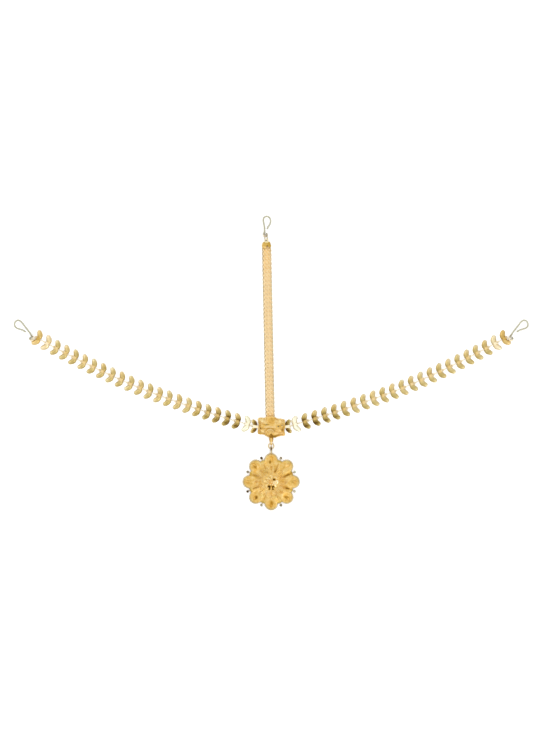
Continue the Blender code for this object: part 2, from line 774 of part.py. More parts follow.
def plaque(material):
    """Cast plaque with its relief, pierced holes, two soldered leaf pairs and the bail below."""
    half_width = PLAQUE_WIDTH / 2
    half_height = PLAQUE_HEIGHT / 2
    top = PLAQUE_THICK + PLAQUE_RELIEF
    base = bmesh.new()
    prism(base, [(x * half_width, y * half_height) for x, y in PLAQUE_OUTLINE], 0, PLAQUE_THICK)
    item = add_object("centre_plaque", base, material)
    fuse(item, *plaque_relief(top))
    fuse(item, *plaque_lotus(top))
    pairs, eyes = soldered_pairs()
    fuse(item, *pairs)
    holes = bmesh.new()
    for x, y in PLAQUE_HOLES:
        middle = Vector((x * half_width, y * half_height))
        outline = [point.xy + middle for point in circle_points(PLAQUE_HOLE, 8)]
        prism(holes, outline, -PLAQUE_THICK, 2 * top)
    socket = socket_cutter("plaque_band_socket", -SOCKET_DEPTH, 2 * SOCKET_DEPTH, band_matrix())
    cut(item, eyes, add_object("plaque_holes", holes), socket)


def flower_edge(turn):
    """Radius of the flower's outline at an angle from the nearest petal's middle."""
    centre = PETAL_REACH - PETAL_RADIUS
    inside = PETAL_RADIUS ** 2 - (centre * math.sin(turn)) ** 2
    if inside <= 0:
        return FIELD_RADIUS
    return max(FIELD_RADIUS, centre * math.cos(turn) + math.sqrt(inside))


def flower_height(share, turn):
    """Height of the flower's surface: a low dome, dished petals, a raised rim and grooves between."""
    if share > 0.99:
        return FLOWER_EDGE
    dome_height = FLOWER_EDGE + FLOWER_DOME * (1 - share ** 2) ** 0.7
    beside = max(0.0, abs(turn) / (math.pi / PETALS) - 0.75) / 0.25
    depth = PETAL_GROOVE * beside * min(1.0, max(0.0, share - 0.4) / 0.3)
    rim = PETAL_RIM if 0.9 < share < 0.99 else 0.0
    return dome_height + rim - depth


def pendant_bail_top():
    return jump_ring_middle().y - JUMP_RING_RADIUS + bail_reach()


def flower_middle():
    """Centre of the pendant, below the bail that is fused to its upper petal."""
    tip = pendant_bail_top() - PENDANT_BAIL_LENGTH + BAIL_BITE
    return Vector((0, tip - PETAL_REACH, 0))


def notch_balls(builder, place):
    """Small ball on a short stem in each notch between two petals."""
    sector = 2 * math.pi / PETALS
    half = BALL_STEM / 2
    root = FIELD_RADIUS - BALL_RADIUS
    for petal in range(PETALS):
        turned = place @ Matrix.Rotation((petal + 0.5) * sector, 4, "Z")
        prism(builder, ((-half, root), (half, root), (half, BALL_REACH), (-half, BALL_REACH)),
              BALL_RADIUS - half, BALL_RADIUS + half, turned)
    balls = bmesh.new()
    for petal in range(PETALS):
        turned = place @ Matrix.Rotation((petal + 0.5) * sector, 4, "Z")
        ball = turned @ Matrix.Translation((0, BALL_REACH, BALL_RADIUS))
        bmesh.ops.create_uvsphere(balls, u_segments=BALL_SIDES, v_segments=BALL_ROWS, radius=BALL_RADIUS,
                                  matrix=ball)
    return balls


def pendant_flower(material):
    """Domed flower of eight petals with a drop bead on each, a ball in each notch and a bail on top."""
    place = Matrix.Translation(flower_middle())
    sector = 2 * math.pi / PETALS
    builder = bmesh.new()
    rings = [[] for _ in FLOWER_RINGS]
    bottom = []
    for petal in range(PETALS):
        for spoke in PETAL_SPOKES:
            turn = sector * spoke
            angle = math.pi / 2 + petal * sector + turn
            edge = flower_edge(turn)
            ray = Vector((math.cos(angle), math.sin(angle), 0))
            for ring, share in zip(rings, FLOWER_RINGS):
                lift = Vector((0, 0, flower_height(share, turn)))
                ring.append(builder.verts.new(place @ (ray * edge * share + lift)))
            bottom.append(builder.verts.new(place @ (ray * edge * 0.985)))
    builder.faces.new(rings[0])
    builder.faces.new(bottom)
    close_rings(builder, rings + [bottom])
    flower = add_object("pendant_flower", builder, material)

    beads, stems = bmesh.new(), bmesh.new()
    along = PETAL_REACH - PETAL_RADIUS
    low = flower_height(along / PETAL_REACH, 0) - DROP_BEAD_ROOT
    for petal in range(PETALS):
        turned = place @ Matrix.Rotation(petal * sector, 4, "Z")
        dome(beads, (0, along), DROP_BEAD_WIDTH / 2, DROP_BEAD_LENGTH / 2, low,
             low + DROP_BEAD_ROOT + DROP_BEAD_HEIGHT, turned)
    balls = notch_balls(stems, place)
    upper_bail = bmesh.new()
    bail(upper_bail, pendant_bail_top(), pendant_bail_top() - PENDANT_BAIL_LENGTH)
    fuse(flower, add_object("petal_beads", beads), add_object("ball_stems", stems),
         add_object("notch_balls", balls), add_object("pendant_bail", upper_bail))
    cut(flower, flower_hollow(place))


def flower_hollow(place):
    """Shallow hollow behind the dome, inside a flat border that rests on the surface."""
    reach = FIELD_RADIUS - FLOWER_BORDER
    builder = bmesh.new()
    rings = []
    for share, height in ((1.0, -FLOWER_WALL), (1.0, FLOWER_EDGE * 0.3), (0.75, None), (0.3, None)):
        if height is None:
            height = flower_height(share * reach / FIELD_RADIUS, 0) - FLOWER_WALL
        ring = []
        for point in circle_points(reach * share, HOLLOW_SIDES):
            ring.append(builder.verts.new(place @ (point + Vector((0, 0, height)))))
        rings.append(ring)
    builder.faces.new(rings[0])
    builder.faces.new(rings[-1])
    close_rings(builder, rings)
    return add_object("flower_hollow", builder)


def pendant_rosette(material):
    """Polished rosette of eight small petals round a raised button."""
    seat = flower_height(FLOWER_RINGS[0], 0) + SEAT_GAP
    builder = bmesh.new()
    rings = []
    for share, height in ROSETTE_RINGS:
        ring = []
        for step in range(ROSETTE_SIDES):
            turn = 2 * math.pi * step / ROSETTE_SIDES
            between = 1 - abs(math.cos(PETALS * turn / 2))
            scallop = 1 - ROSETTE_SCALLOP * between if share > 0.5 else 1.0
            reach = ROSETTE_RADIUS * share * scallop
            ring.append(builder.verts.new((reach * math.cos(turn), reach * math.sin(turn),
                                           height * ROSETTE_HEIGHT)))
        rings.append(ring)
    top = builder.verts.new((0, 0, ROSETTE_HEIGHT))
    builder.faces.new(rings[0])
    close_rings(builder, rings)
    close_top(builder, rings[-1], top)
    item = add_object("pendant_rosette", builder, material)
    item.location = flower_middle() + Vector((0, 0, seat))


def pendant_jump_ring(material):
    builder = bmesh.new()
    points = circle_points(JUMP_RING_RADIUS, RING_STEPS)
    sweep(builder, points, (0, 0, 1), JUMP_RING_WIRE / 2, WIRE_SIDES, True)
    item = add_object("pendant_jump_ring", builder, material)
    item.location = jump_ring_middle()


def build():
    remove_everything()
    leaf_gold = gold("leaf_gold", (0.80, 0.60, 0.22), 0.22)
    wire_gold = gold("wire_gold", (0.78, 0.66, 0.38), 0.28)
    band_gold = gold("band_gold", (0.85, 0.64, 0.32), 0.35)
    cast_gold = gold("cast_gold", (0.82, 0.56, 0.16), 0.38)
    plaque(cast_gold)
    for side, label in ((-1, "left"), (1, "right")):
        leaf_chain("leaf_chain_" + label + "_inner", side, 1, INNER_PAIRS, leaf_gold)
        leaf_chain("leaf_chain_" + label + "_outer", side, INNER_PAIRS + 1, LOOSE_PAIRS, leaf_gold)
        side_hook(side, wire_gold)
    band(band_gold)
    band_end_cap(cast_gold)
    band_ring_and_top_hook(wire_gold, wire_gold)
    pendant_jump_ring(wire_gold)
    pendant_flower(cast_gold)
    pendant_rosette(cast_gold)


build()
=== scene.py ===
"""Looks of the matha patti: a gold leaf-chain head jewel laid flat and seen from straight above.

Lengths are in metres in the frame's own axes: X right, Y up the photograph, Z off the surface.
The origin is the centre of the plaque's back, so each piece goes where its solid lies.
"""
import math
from typing import NamedTuple

import bpy
import numpy as np
from mathutils import Matrix, Vector


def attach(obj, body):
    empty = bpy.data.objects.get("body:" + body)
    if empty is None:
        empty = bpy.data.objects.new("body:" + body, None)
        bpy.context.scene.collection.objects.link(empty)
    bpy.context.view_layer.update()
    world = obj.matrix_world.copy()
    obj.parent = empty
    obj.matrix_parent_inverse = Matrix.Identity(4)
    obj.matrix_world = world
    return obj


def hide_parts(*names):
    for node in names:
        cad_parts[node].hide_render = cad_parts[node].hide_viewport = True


MM = 0.001
TAU = 2 * math.pi

# Tones of the gold run from bright at 0 to nearly black at 1, its warmth from olive at 0 to orange at 1
GOLD, DEEP, BROWN = 0.45, 0.65, 0.85
NEUTRAL = 0.5

# Photograph: its size, and the pixel that the plaque's centre falls on
PHOTO_WIDTH_PX = 550
PHOTO_HEIGHT_PX = 733
PLAQUE_PX = (271.2, 427.4)
PIXEL = 0.7 * MM

# Camera, floor and lights; a light has its name, place, size, power, and whether the gold mirrors it
LENS = 100.0
SENSOR = 36.0
CLIP_START = 0.01
FLOOR_SIZE = 6.0
FLOOR_DROP = 0.2 * MM
FLOOR_WHITE = 0.93
LIGHT_TARGET = (0.0, 0.04, 0.0)
LIGHTS = (
    ("floor_fill", (0, 0.04, 2.6), 2.5, 38, False),
    ("key_softbox", (0.9, -0.9, 1.3), 0.9, 2.5, True),
    ("side_softbox", (-1.1, 0.5, 1.1), 0.8, 1.5, True),
)

# Brightness of the tent of light from the horizon up to the zenith
TENT_STOPS = ((0.0, 0.54), (0.2, 0.70), (0.45, 0.92), (0.75, 1.06), (1.0, 1.12))

# Clearances
SEAT_GAP = 0.3 * MM
RING_GAP = 0.3 * MM

# Side chains
LEAF_REACH = 5.0 * MM
LEAF_SPAN = 11.6 * MM
LEAF_CROWN = 1.35 * MM
LEAF_WALL = 0.35 * MM
LEAF_EDGE = 0.4 * MM
LEAF_COLUMNS = 13
LEAF_ROW_STEPS = 3
LINK_PITCH = 7.2 * MM
FIRST_PITCH = 5.0 * MM
LOOSE_PAIRS = 23
INNER_PAIRS = 12
SOLDERED_SCALE = 0.86
SOLDERED_TURN = math.radians(8)
CHAIN_START = (10.2 * MM, 0.5 * MM)
CROTCH = 0.48
EYE_AHEAD = 0.5 * MM
EYE_HOLE = 0.55 * MM
EYE_WALL = 0.45 * MM
EYE_THICK = 0.42 * MM
TONGUE_ROOT = 0.85 * MM
SOLDERED_ROOT = -1.6 * MM
LINK_WIRE = 0.5 * MM
LINK_HEIGHT = 2.1 * MM
LINK_LIFT = 0.1 * MM
# The link rings are painted pale: a painted highlight like the cream round each crotch
LINK_TONE = 0.24
LINK_WARM = 0.6
APEX_HOLE = 0.45 * MM
SIDE_CHAIN_ROUTE_MM = (
    (15.2, 1.75), (25.2, 4.6), (46.5, 11.2), (67.8, 18.6), (88.9, 26.4),
    (109.9, 35.4), (130.6, 45.2), (151.6, 56.0), (165.2, 63.4),
)

# Leaf outline: across the span, then back edge, ridge and front edge along the reach, then crown
LEAF_ROWS = np.array((
    (0.00, 0.01, 0.24, 0.48, 0.85),
    (0.23, -0.04, 0.30, 0.67, 0.95),
    (0.43, -0.03, 0.38, 0.79, 1.00),
    (0.63, 0.07, 0.50, 0.92, 0.95),
    (0.81, 0.25, 0.61, 0.94, 0.80),
    (0.94, 0.46, 0.66, 0.85, 0.55),
    (1.00, 0.66, 0.66, 0.66, 0.35),
))

# Shade of a leaf, much of it painted light: tones at the crotch, root, belly and tip, where dark roots
# and bellies are painted reflections, how much paler its front is, a painted highlight, how much darker
# its rim is, painted shade, then its warmth and the warmth of the crotch; the upper leaf, then the lower
# one
LEAF_SHADE_STEPS = (0.0, 0.22, 0.55, 1.0)
LEAF_RIPPLE = 0.035
FIRST_DARK_PAIR = 2
DARK_PAIRS = 5
OWN_SHADES = {
    0: ((0.52, 0.90, 0.84, 0.52, 0.75, 0.0, 0.45, 0.60), (0.52, 0.80, 0.92, 0.55, 0.75, 0.0, 0.60, 0.60)),
    1: ((0.08, 0.12, 0.12, 0.10, 0.06, 0.24, 0.35, 0.60), (0.08, 0.06, 0.08, 0.10, 0.05, 0.22, 0.35, 0.60)),
    22: ((0.24, 0.38, 0.36, 0.24, 0.14, 0.16, 0.45, 0.60),
         (0.22, 0.26, 0.30, 0.18, 0.10, 0.18, 0.50, 0.60)),
    23: ((0.58, 0.56, 0.50, 0.40, 0.12, 0.0, 0.80, 1.00), (0.52, 0.48, 0.48, 0.34, 0.12, 0.0, 0.80, 1.00)),
}
# Eyes are painted paler than the crotch, the soldered pair's nearly white: painted highlights
EYE_HIGHLIGHT_LIFT = 0.06
SOLDERED_EYE_SHADE = (0.06, 0.6)
# The dark pairs' dark roots and bellies are painted reflections of the dark surroundings
DARK_REFLECTION_SHADES = (
    (0.58, 0.96, 0.62, 0.34, 0.40, 0.0, 0.50, 0.75), (0.54, 0.74, 0.98, 0.50, 0.40, 0.0, 0.40, 0.75),
)
PLAIN_SHADES = (
    (0.42, 0.58, 0.54, 0.30, 0.24, 0.0, 0.45, 0.75), (0.40, 0.50, 0.58, 0.40, 0.24, 0.0, 0.38, 0.70),
)

# Hooks
HOOK_WIRE = 0.9 * MM
HOOK_EYE = 1.2 * MM
SIDE_HOOK_EYE_START = math.radians(15)
TOP_HOOK_EYE_START = math.radians(-20)
HOOK_EYE_END = math.radians(-270)
HOOK_WIDTH = 5.4 * MM
SIDE_HOOK_LENGTH = 16.6 * MM
TOP_HOOK_LENGTH = 13.6 * MM
SIDE_HOOK_ANGLE = math.radians(46)
TOP_HOOK_ANGLE = math.radians(90)
HOOK_RING_HEIGHT = 2.6 * MM
HOOK_RING_SLACK = 0.7 * MM
HOOK_RING_TURN = math.radians(-46)
TONGUE_WALL = 0.5 * MM
HOOK_SHOWN = 1.2
# Painted light on the hooks: a dark reflection at the leg's root, pale highlights on the eyes and side
# rings
HOOK_TONE = 0.50
HOOK_ROOT = 6.0 * MM
HOOK_ROOT_REFLECTION = 0.18
HOOK_EYE_HIGHLIGHT_TONE = 0.10
SIDE_HOOK_EYE_HIGHLIGHT_TONE = 0.05
# The top hook's eye is dark on its far side, a painted reflection
TOP_HOOK_EYE_REFLECTION_TONE = 0.66
HOOK_RING_HIGHLIGHT_TONE = 0.05
WRAP_TURNS = 3
WRAP_WIRE = 0.38 * MM
WRAP_LENGTH = 1.4 * MM
WRAP_START = 0.25 * MM
WRAP_TONE = 0.46
WRAP_WARM = 0.40
SIDE_HOOK_BEND = (
    (0.11, 0.29), (0.24, 0.39), (0.45, 0.47), (0.64, 0.52), (0.82, 0.57), (0.96, 0.44), (1.00, 0.04),
    (0.95, -0.27), (0.87, -0.44), (0.75, -0.41), (0.64, -0.22), (0.51, -0.03), (0.37, 0.07),
)
TOP_HOOK_BEND = (
    (0.16, 0.11), (0.30, 0.11), (0.49, 0.17), (0.77, 0.28), (0.91, 0.17), (0.97, -0.20),
    (0.90, -0.54), (0.73, -0.68), (0.55, -0.57), (0.43, -0.37), (0.30, -0.24),
)

# Centre band
BAND_WIDTH = 6.5 * MM
BAND_THICK = 1.2 * MM
BAND_PITCH = 3.0 * MM
BAND_LENGTH = 118.0 * MM
BAND_LEAN = math.radians(1.18)
BAND_FOOT_X = -0.75 * MM
BAND_COLUMNS = 5
BAND_WIRE = 0.54 * MM
BAND_LINK_HALF = 0.62 * MM
BAND_LINK_STEPS = 16
BAND_LINK_LEAN = math.radians(20)
BAND_LINK_TURN = math.radians(12)
BAND_STITCH_WIRE = 0.24 * MM
BAND_END_WIRE = 0.4 * MM
BAND_CORE = 0.5 * MM
BAND_DOT = 0.55 * MM
BAND_FOOT_GLOW = 7.0 * MM
BAND_CAP_GLOW = 26.0 * MM
BAND_TONGUE_WIDTH = 3.8 * MM
SOCKET_DEPTH = 2.6 * MM

# Cap on the band's upper end, and the ring in its eye
CAP_LENGTH = 5.6 * MM
CAP_PLATE = 0.6 * MM
CAP_TOP_WIDTH = 4.4 * MM
CAP_TOP_WALL = 1.0 * MM
CAP_EYE_HOLE = 0.85 * MM
CAP_EYE_WALL = 0.5 * MM
BAND_RING_RADIUS = 2.1 * MM
BAND_RING_WIRE = 0.5 * MM
BAND_RING_TILT = math.radians(55)
BAND_RING_LEAN = math.radians(11)
BAND_RING_OVERLAP = 1.3 * MM

# Flaps of the cap, in mm: aside from the band's middle line, and above the cap's floor
LEFT_FLAP_MM = (
    (0.5, 3.8), (-2.2, 3.8), (-3.2, 1.6), (-3.1, 0.4), (-2.3, -0.6), (-1.3, -1.0), (-0.5, -0.1), (0.3, 1.5),
)
RIGHT_FLAP_MM = (
    (2.3, 3.8), (0.4, 3.8), (0.4, 1.5), (1.2, 0.5), (2.2, 0.0), (3.0, 0.7), (2.9, 1.7),
)

# Plaque
PLAQUE_WIDTH = 19.0 * MM
PLAQUE_HEIGHT = 14.8 * MM
PLAQUE_THICK = 1.7 * MM
PLAQUE_HOLE = 0.45 * MM
# Dark discs in the plaque's holes, painted shade: their depth below the face and their tone
HOLE_SHADE_DEPTH = 0.15 * MM
HOLE_SHADE_TONE = 0.92
COVER_LIP = 0.15 * MM
RELIEF_LIFT = 0.15 * MM
PLAQUE_HALF = np.array((PLAQUE_WIDTH / 2, PLAQUE_HEIGHT / 2))
PLAQUE_OUTLINE = (
    (-0.97, 0.62), (-0.97, 0.86), (-0.74, 0.95), (-0.48, 0.89), (-0.36, 1.00), (0.25, 0.97),
    (0.49, 0.83), (0.79, 0.78), (0.99, 0.73), (1.04, 0.28), (1.03, -0.02), (0.97, -0.27),
    (1.01, -0.75), (0.73, -0.79), (0.44, -0.90), (0.18, -0.98), (-0.26, -0.89), (-0.55, -0.67),
    (-0.90, -0.64), (-0.99, -0.50), (-0.96, -0.12), (-0.93, 0.24),
)
PLAQUE_HOLES = (
    (-0.77, -0.09), (-0.33, 0.28), (0.52, 0.10), (0.80, 0.21), (0.85, -0.20), (-0.50, -0.30),
)
PLAQUE_BOSSES = ((-0.66, 0.58), (-0.64, -0.30), (0.64, -0.30), (0.66, 0.58))

# Bails and the pendant's jump ring
BAIL_OPENING = 1.6 * MM
BAIL_WIRE = 1.1 * MM
BAIL_BITE = 0.4 * MM
PENDANT_BAIL_LENGTH = 4.7 * MM
JUMP_RING_DROP = 5.5 * MM
JUMP_RING_RADIUS = 1.9 * MM
JUMP_RING_WIRE = 0.6 * MM
JUMP_RING_SHOWN = 1.5
JUMP_RING_TONE = 0.34
JUMP_RING_WARM = 0.8

# Pendant
PETALS = 8
PETAL_RADIUS = 4.6 * MM
PETAL_REACH = 20.0 * MM
PETAL_CENTRE = PETAL_REACH - PETAL_RADIUS
SECTOR = TAU / PETALS
FIELD_RADIUS = 16.0 * MM
FLOWER_EDGE = 1.3 * MM
FLOWER_DOME = 1.9 * MM
FLOWER_BORDER = 3.0 * MM
FLOWER_RIM_SHARE = 0.90
DISH_DEPTH = 0.35 * MM
VALLEY_WIDTH = 0.55 * MM
RIDGE_WIDTH = 0.55 * MM
RIDGE_HEIGHT = 0.10 * MM
RIM_WIRE = 0.42 * MM
INNER_RIM_WIRE = 0.26 * MM
GRANULE = 0.27 * MM
DROP_HALF_WIDTH = 1.45 * MM
DROP_HALF_LENGTH = 2.4 * MM
DROP_AHEAD = 0.3 * MM
DROP_LIFT = 0.1 * MM
DROP_RISE = 0.95 * MM
BALL_RADIUS = 0.9 * MM
BALL_REACH = 17.9 * MM
ROSETTE_RADIUS = 5.0 * MM
ROSETTE_HEIGHT = 2.2 * MM
ROSETTE_SEAT_SHARE = 0.3
ROSETTE_BUTTON = 0.95 * MM

# Layers of the rosette: share of its radius, foot and rise in mm, and turn
ROSETTE_LAYERS = ((1.0, 0.0, 0.75, 0.0), (0.62, 0.5, 0.8, TAU / 16))

# Tone and warmth of the balls, painted dark reflections and painted light, from the one left of the
# upper petal on round to the left
BALL_REFLECTION_TONES = (
    (0.97, 0.6), (0.74, 0.3), (0.95, 0.4), (0.68, 0.1), (0.80, 0.2), (0.42, 0.3), (0.44, 0.1), (0.74, 0.5),
)


class Patch(NamedTuple):
    """Soft patch of tone and warmth: its middle and half sizes in mm, and its turn in degrees."""
    x: float
    y: float
    across: float
    along: float
    turn: float
    tone: float
    warm: float
    strength: float

    def cover(self, points, middle):
        """How strongly the patch covers each point."""
        aside = points[:, 0] / MM - middle[0] / MM - self.x
        above = points[:, 1] / MM - middle[1] / MM - self.y
        cosine, sine = math.cos(math.radians(self.turn)), math.sin(math.radians(self.turn))
        u = (aside * cosine + above * sine) / self.across
        v = (above * cosine - aside * sine) / self.along
        return self.strength * np.exp(-(u ** 2 + v ** 2) ** 1.5)


# Patches of the plaque's face, from the plaque's centre: mostly painted light, pale ones painted
# highlights and dark ones painted shade and dark reflections
PLAQUE_SHADING_PATCHES = (
    Patch(-6.2, 5.0, 3.4, 2.4, 0, 0.14, 0.35, 0.8),
    Patch(6.3, 4.2, 3.2, 2.4, 0, 0.18, 0.35, 0.75),
    Patch(5.6, -4.6, 4.0, 2.2, 0, 0.20, 0.75, 0.8),
    Patch(-6.0, -2.6, 3.0, 1.8, 0, 0.26, 0.5, 0.7),
    Patch(-0.5, 5.4, 2.9, 1.9, 0, 0.52, 0.62, 0.7),
    Patch(1.2, 5.4, 1.2, 1.5, 0, 0.66, 0.62, 0.7),
    Patch(-3.3, 2.0, 2.3, 0.5, 0, 0.86, 0.55, 0.85),
    Patch(-1.0, 0.3, 4.3, 0.6, 0, 0.22, 0.65, 0.85),
    Patch(-0.5, 7.5, 4.0, 0.7, 0, 0.25, 0.60, 0.8),
    Patch(2.7, -6.3, 1.4, 1.0, 10, 0.86, 0.30, 0.85),
    Patch(0.0, -6.2, 1.4, 1.3, 0, 0.84, 0.80, 0.8),
    Patch(5.2, 0.9, 1.1, 0.7, 0, 0.82, 0.65, 0.8),
    Patch(7.9, -1.3, 0.9, 1.2, 0, 0.76, 0.75, 0.7),
    Patch(7.4, 2.2, 1.2, 0.6, 20, 0.70, 0.55, 0.6),
    Patch(-6.9, -0.6, 1.0, 0.9, 0, 0.78, 0.60, 0.7),
    Patch(-7.8, -3.9, 1.3, 0.8, 0, 0.66, 0.20, 0.6),
    Patch(5.4, -5.3, 2.2, 0.6, 5, 0.70, 0.60, 0.7),
    Patch(4.4, -2.2, 2.6, 0.8, 35, 0.20, 0.85, 0.7),
    Patch(-8.2, 3.0, 0.9, 2.4, 0, 0.60, 0.30, 0.5),
)

# Painted dark reflections on the roots of the soldered leaves, from the plaque's centre
SOLDERED_REFLECTION_PATCHES = (
    Patch(-10.1, 0.5, 1.2, 2.6, 0, 0.92, 0.55, 1.0),
    Patch(10.1, 0.5, 1.2, 2.6, 0, 0.92, 0.55, 1.0),
)

# Patches of the pendant's face, from the pendant's middle: mostly painted light, with painted dark
# reflections, painted highlights and painted shade
PENDANT_SHADING_PATCHES = (
    Patch(11.9, 5.1, 3.4, 0.95, 23, 0.78, 0.90, 0.9),
    Patch(-12.5, 4.3, 3.2, 0.6, 160, 0.70, 0.55, 0.8),
    Patch(-11.6, -4.4, 2.4, 0.7, 202, 0.62, 0.60, 0.7),
    Patch(11.0, -4.3, 2.6, 0.9, -22, 0.78, 0.85, 0.85),
    Patch(3.0, 7.8, 1.9, 0.8, 68, 0.76, 0.65, 0.85),
    Patch(-0.75, 13.8, 0.8, 1.4, 0, 0.90, 0.70, 0.95),
    Patch(0.6, 16.6, 1.9, 2.2, 0, 0.40, 0.95, 0.7),
    Patch(-11.0, 10.2, 1.6, 1.0, -45, 0.80, 0.90, 0.9),
    Patch(-9.4, 10.2, 0.8, 1.1, 0, 0.18, 0.80, 0.8),
    Patch(-11.4, 7.6, 1.9, 1.5, 0, 0.42, 1.00, 0.6),
    Patch(8.8, 9.9, 0.7, 1.6, -30, 0.62, 0.60, 0.7),
    Patch(11.2, 11.4, 1.4, 1.4, 0, 0.25, 0.75, 0.7),
    Patch(14.6, 0.0, 1.6, 1.1, 0, 0.58, 0.20, 0.7),
    Patch(10.3, -10.5, 1.5, 1.1, -45, 0.86, 0.80, 0.95),
    Patch(9.2, -8.4, 2.6, 1.6, -45, 0.40, 0.95, 0.6),
    Patch(0.2, -15.4, 1.0, 1.9, 0, 0.83, 1.00, 0.9),
    Patch(-0.6, -16.3, 1.6, 1.6, 0, 0.55, 0.90, 0.6),
    Patch(-10.6, -10.7, 1.1, 1.3, 0, 1.05, 0.70, 1.0),
    Patch(-11.6, -9.6, 1.9, 1.5, -45, 0.42, 0.90, 0.5),
    Patch(-15.0, 0.6, 1.7, 0.6, 0, 0.56, 0.30, 0.5),
    Patch(-14.2, -1.3, 1.7, 0.6, 0, 0.56, 0.30, 0.5),
    Patch(7.0, 2.0, 2.6, 2.2, 0, 0.40, 0.95, 0.5),
    Patch(8.2, -3.4, 2.4, 3.0, 0, 0.36, 0.95, 0.5),
    Patch(-0.5, -8.6, 2.3, 1.7, 0, 0.36, 0.95, 0.5),
    Patch(-9.4, -1.2, 3.2, 2.2, 0, 0.34, 0.80, 0.4),
    Patch(2.4, -10.6, 1.6, 1.2, 0, 0.40, 0.05, 0.6),
    Patch(-6.4, -9.6, 2.2, 1.3, 0, 0.36, 0.10, 0.6),
    Patch(-3.6, 7.2, 2.2, 2.0, 0, 0.48, 0.20, 0.5),
    Patch(-7.0, 13.6, 1.7, 1.7, 0, 0.34, 0.15, 0.6),
    Patch(11.4, 13.7, 1.2, 0.9, -45, 0.36, 0.00, 0.6),
    Patch(-11.0, 13.6, 1.4, 1.2, 45, 0.46, 0.25, 0.5),
    Patch(-1.35, -5.0, 0.8, 0.6, 0, 1.10, 0.70, 1.0),
    Patch(1.25, -5.1, 0.8, 0.6, 0, 1.10, 0.70, 1.0),
)

# Painted dark reflection on the front of the pendant's bail, from the pendant's middle
BAIL_REFLECTION_PATCHES = (Patch(0.0, 22.7, 4.0, 1.6, 0, 1.0, 0.9, 1.0),)

# Patches of the rosette, from the pendant's middle: a painted highlight on its right and painted dark
# reflections in its dark spots
ROSETTE_SHADING_PATCHES = (
    Patch(3.2, -0.6, 3.4, 4.2, 0, 0.03, 0.60, 0.9),
    Patch(-3.4, 0.4, 2.4, 4.4, 0, 0.36, 0.50, 0.8),
    Patch(-0.6, -0.3, 1.3, 1.4, 0, 0.30, 0.95, 0.9),
    Patch(2.1, 1.7, 1.30, 1.10, 0, 0.98, 0.60, 1.0),
    Patch(-1.45, -3.8, 1.00, 1.55, 8, 1.25, 0.80, 1.0),
    Patch(1.35, -3.9, 1.00, 1.55, -8, 1.25, 0.80, 1.0),
    Patch(0.0, -3.0, 1.10, 0.55, 0, 1.00, 0.80, 0.7),
    Patch(3.6, -0.2, 0.45, 0.4, 0, 0.60, 0.30, 0.8),
    Patch(3.8, -2.6, 0.45, 0.4, 0, 0.58, 0.30, 0.8),
    Patch(-0.6, 3.2, 0.5, 0.7, 0, 0.70, 0.35, 0.8),
    Patch(-2.9, 3.4, 0.5, 0.7, 0, 0.62, 0.40, 0.7),
)


class Look(NamedTuple):
    """Gloss and grain of a gold: sizes in metres, grain and mottle as shares of the tone's range."""
    roughness: float
    grain_size: float
    grain: float
    bump: float
    mottle_size: float
    mottle: float


# Colours of the golds by tone, each multiplied by the colour of its warmth
WARM_STOPS = (
    (0.00, (0.91, 1.04, 1.02)),
    (0.50, (1.00, 1.00, 1.00)),
    (1.00, (1.05, 0.90, 0.58)),
)
LEAF_STOPS = (
    (0.00, (0.98, 0.93, 0.76)),
    (0.25, (0.88, 0.74, 0.48)),
    (0.45, (0.68, 0.52, 0.23)),
    (0.65, (0.46, 0.33, 0.10)),
    (0.85, (0.22, 0.13, 0.03)),
    (1.00, (0.10, 0.055, 0.01)),
)
CAST_STOPS = (
    (0.00, (0.98, 0.85, 0.54)),
    (0.25, (0.86, 0.63, 0.28)),
    (0.45, (0.73, 0.46, 0.125)),
    (0.65, (0.52, 0.30, 0.055)),
    (0.85, (0.28, 0.14, 0.02)),
    (1.00, (0.07, 0.035, 0.006)),
)
BAND_STOPS = (
    (0.00, (1.00, 0.90, 0.70)),
    (0.25, (0.98, 0.82, 0.57)),
    (0.45, (0.92, 0.73, 0.44)),
    (0.65, (0.68, 0.54, 0.33)),
    (0.85, (0.42, 0.31, 0.15)),
    (1.00, (0.20, 0.13, 0.05)),
)
WIRE_STOPS = (
    (0.00, (0.96, 0.90, 0.76)),
    (0.25, (0.82, 0.74, 0.56)),
    (0.45, (0.62, 0.56, 0.44)),
    (0.65, (0.42, 0.36, 0.25)),
    (0.85, (0.22, 0.15, 0.07)),
    (1.00, (0.06, 0.035, 0.01)),
)

# Gloss and grain of each gold, and how much more its warmth is mottled than its tone
LEAF_LOOK = Look(0.30, 0.9 * MM, 0.10, 0.012 * MM, 2.4 * MM, 0.25)
WIRE_LOOK = Look(0.40, 0.6 * MM, 0.10, 0.01 * MM, 3.0 * MM, 0.15)
BAND_LOOK = Look(0.30, 0.5 * MM, 0.12, 0.015 * MM, 3.0 * MM, 0.15)
CAST_LOOK = Look(0.34, 0.6 * MM, 0.32, 0.05 * MM, 2.0 * MM, 0.42)
WARM_MOTTLE = 1.2


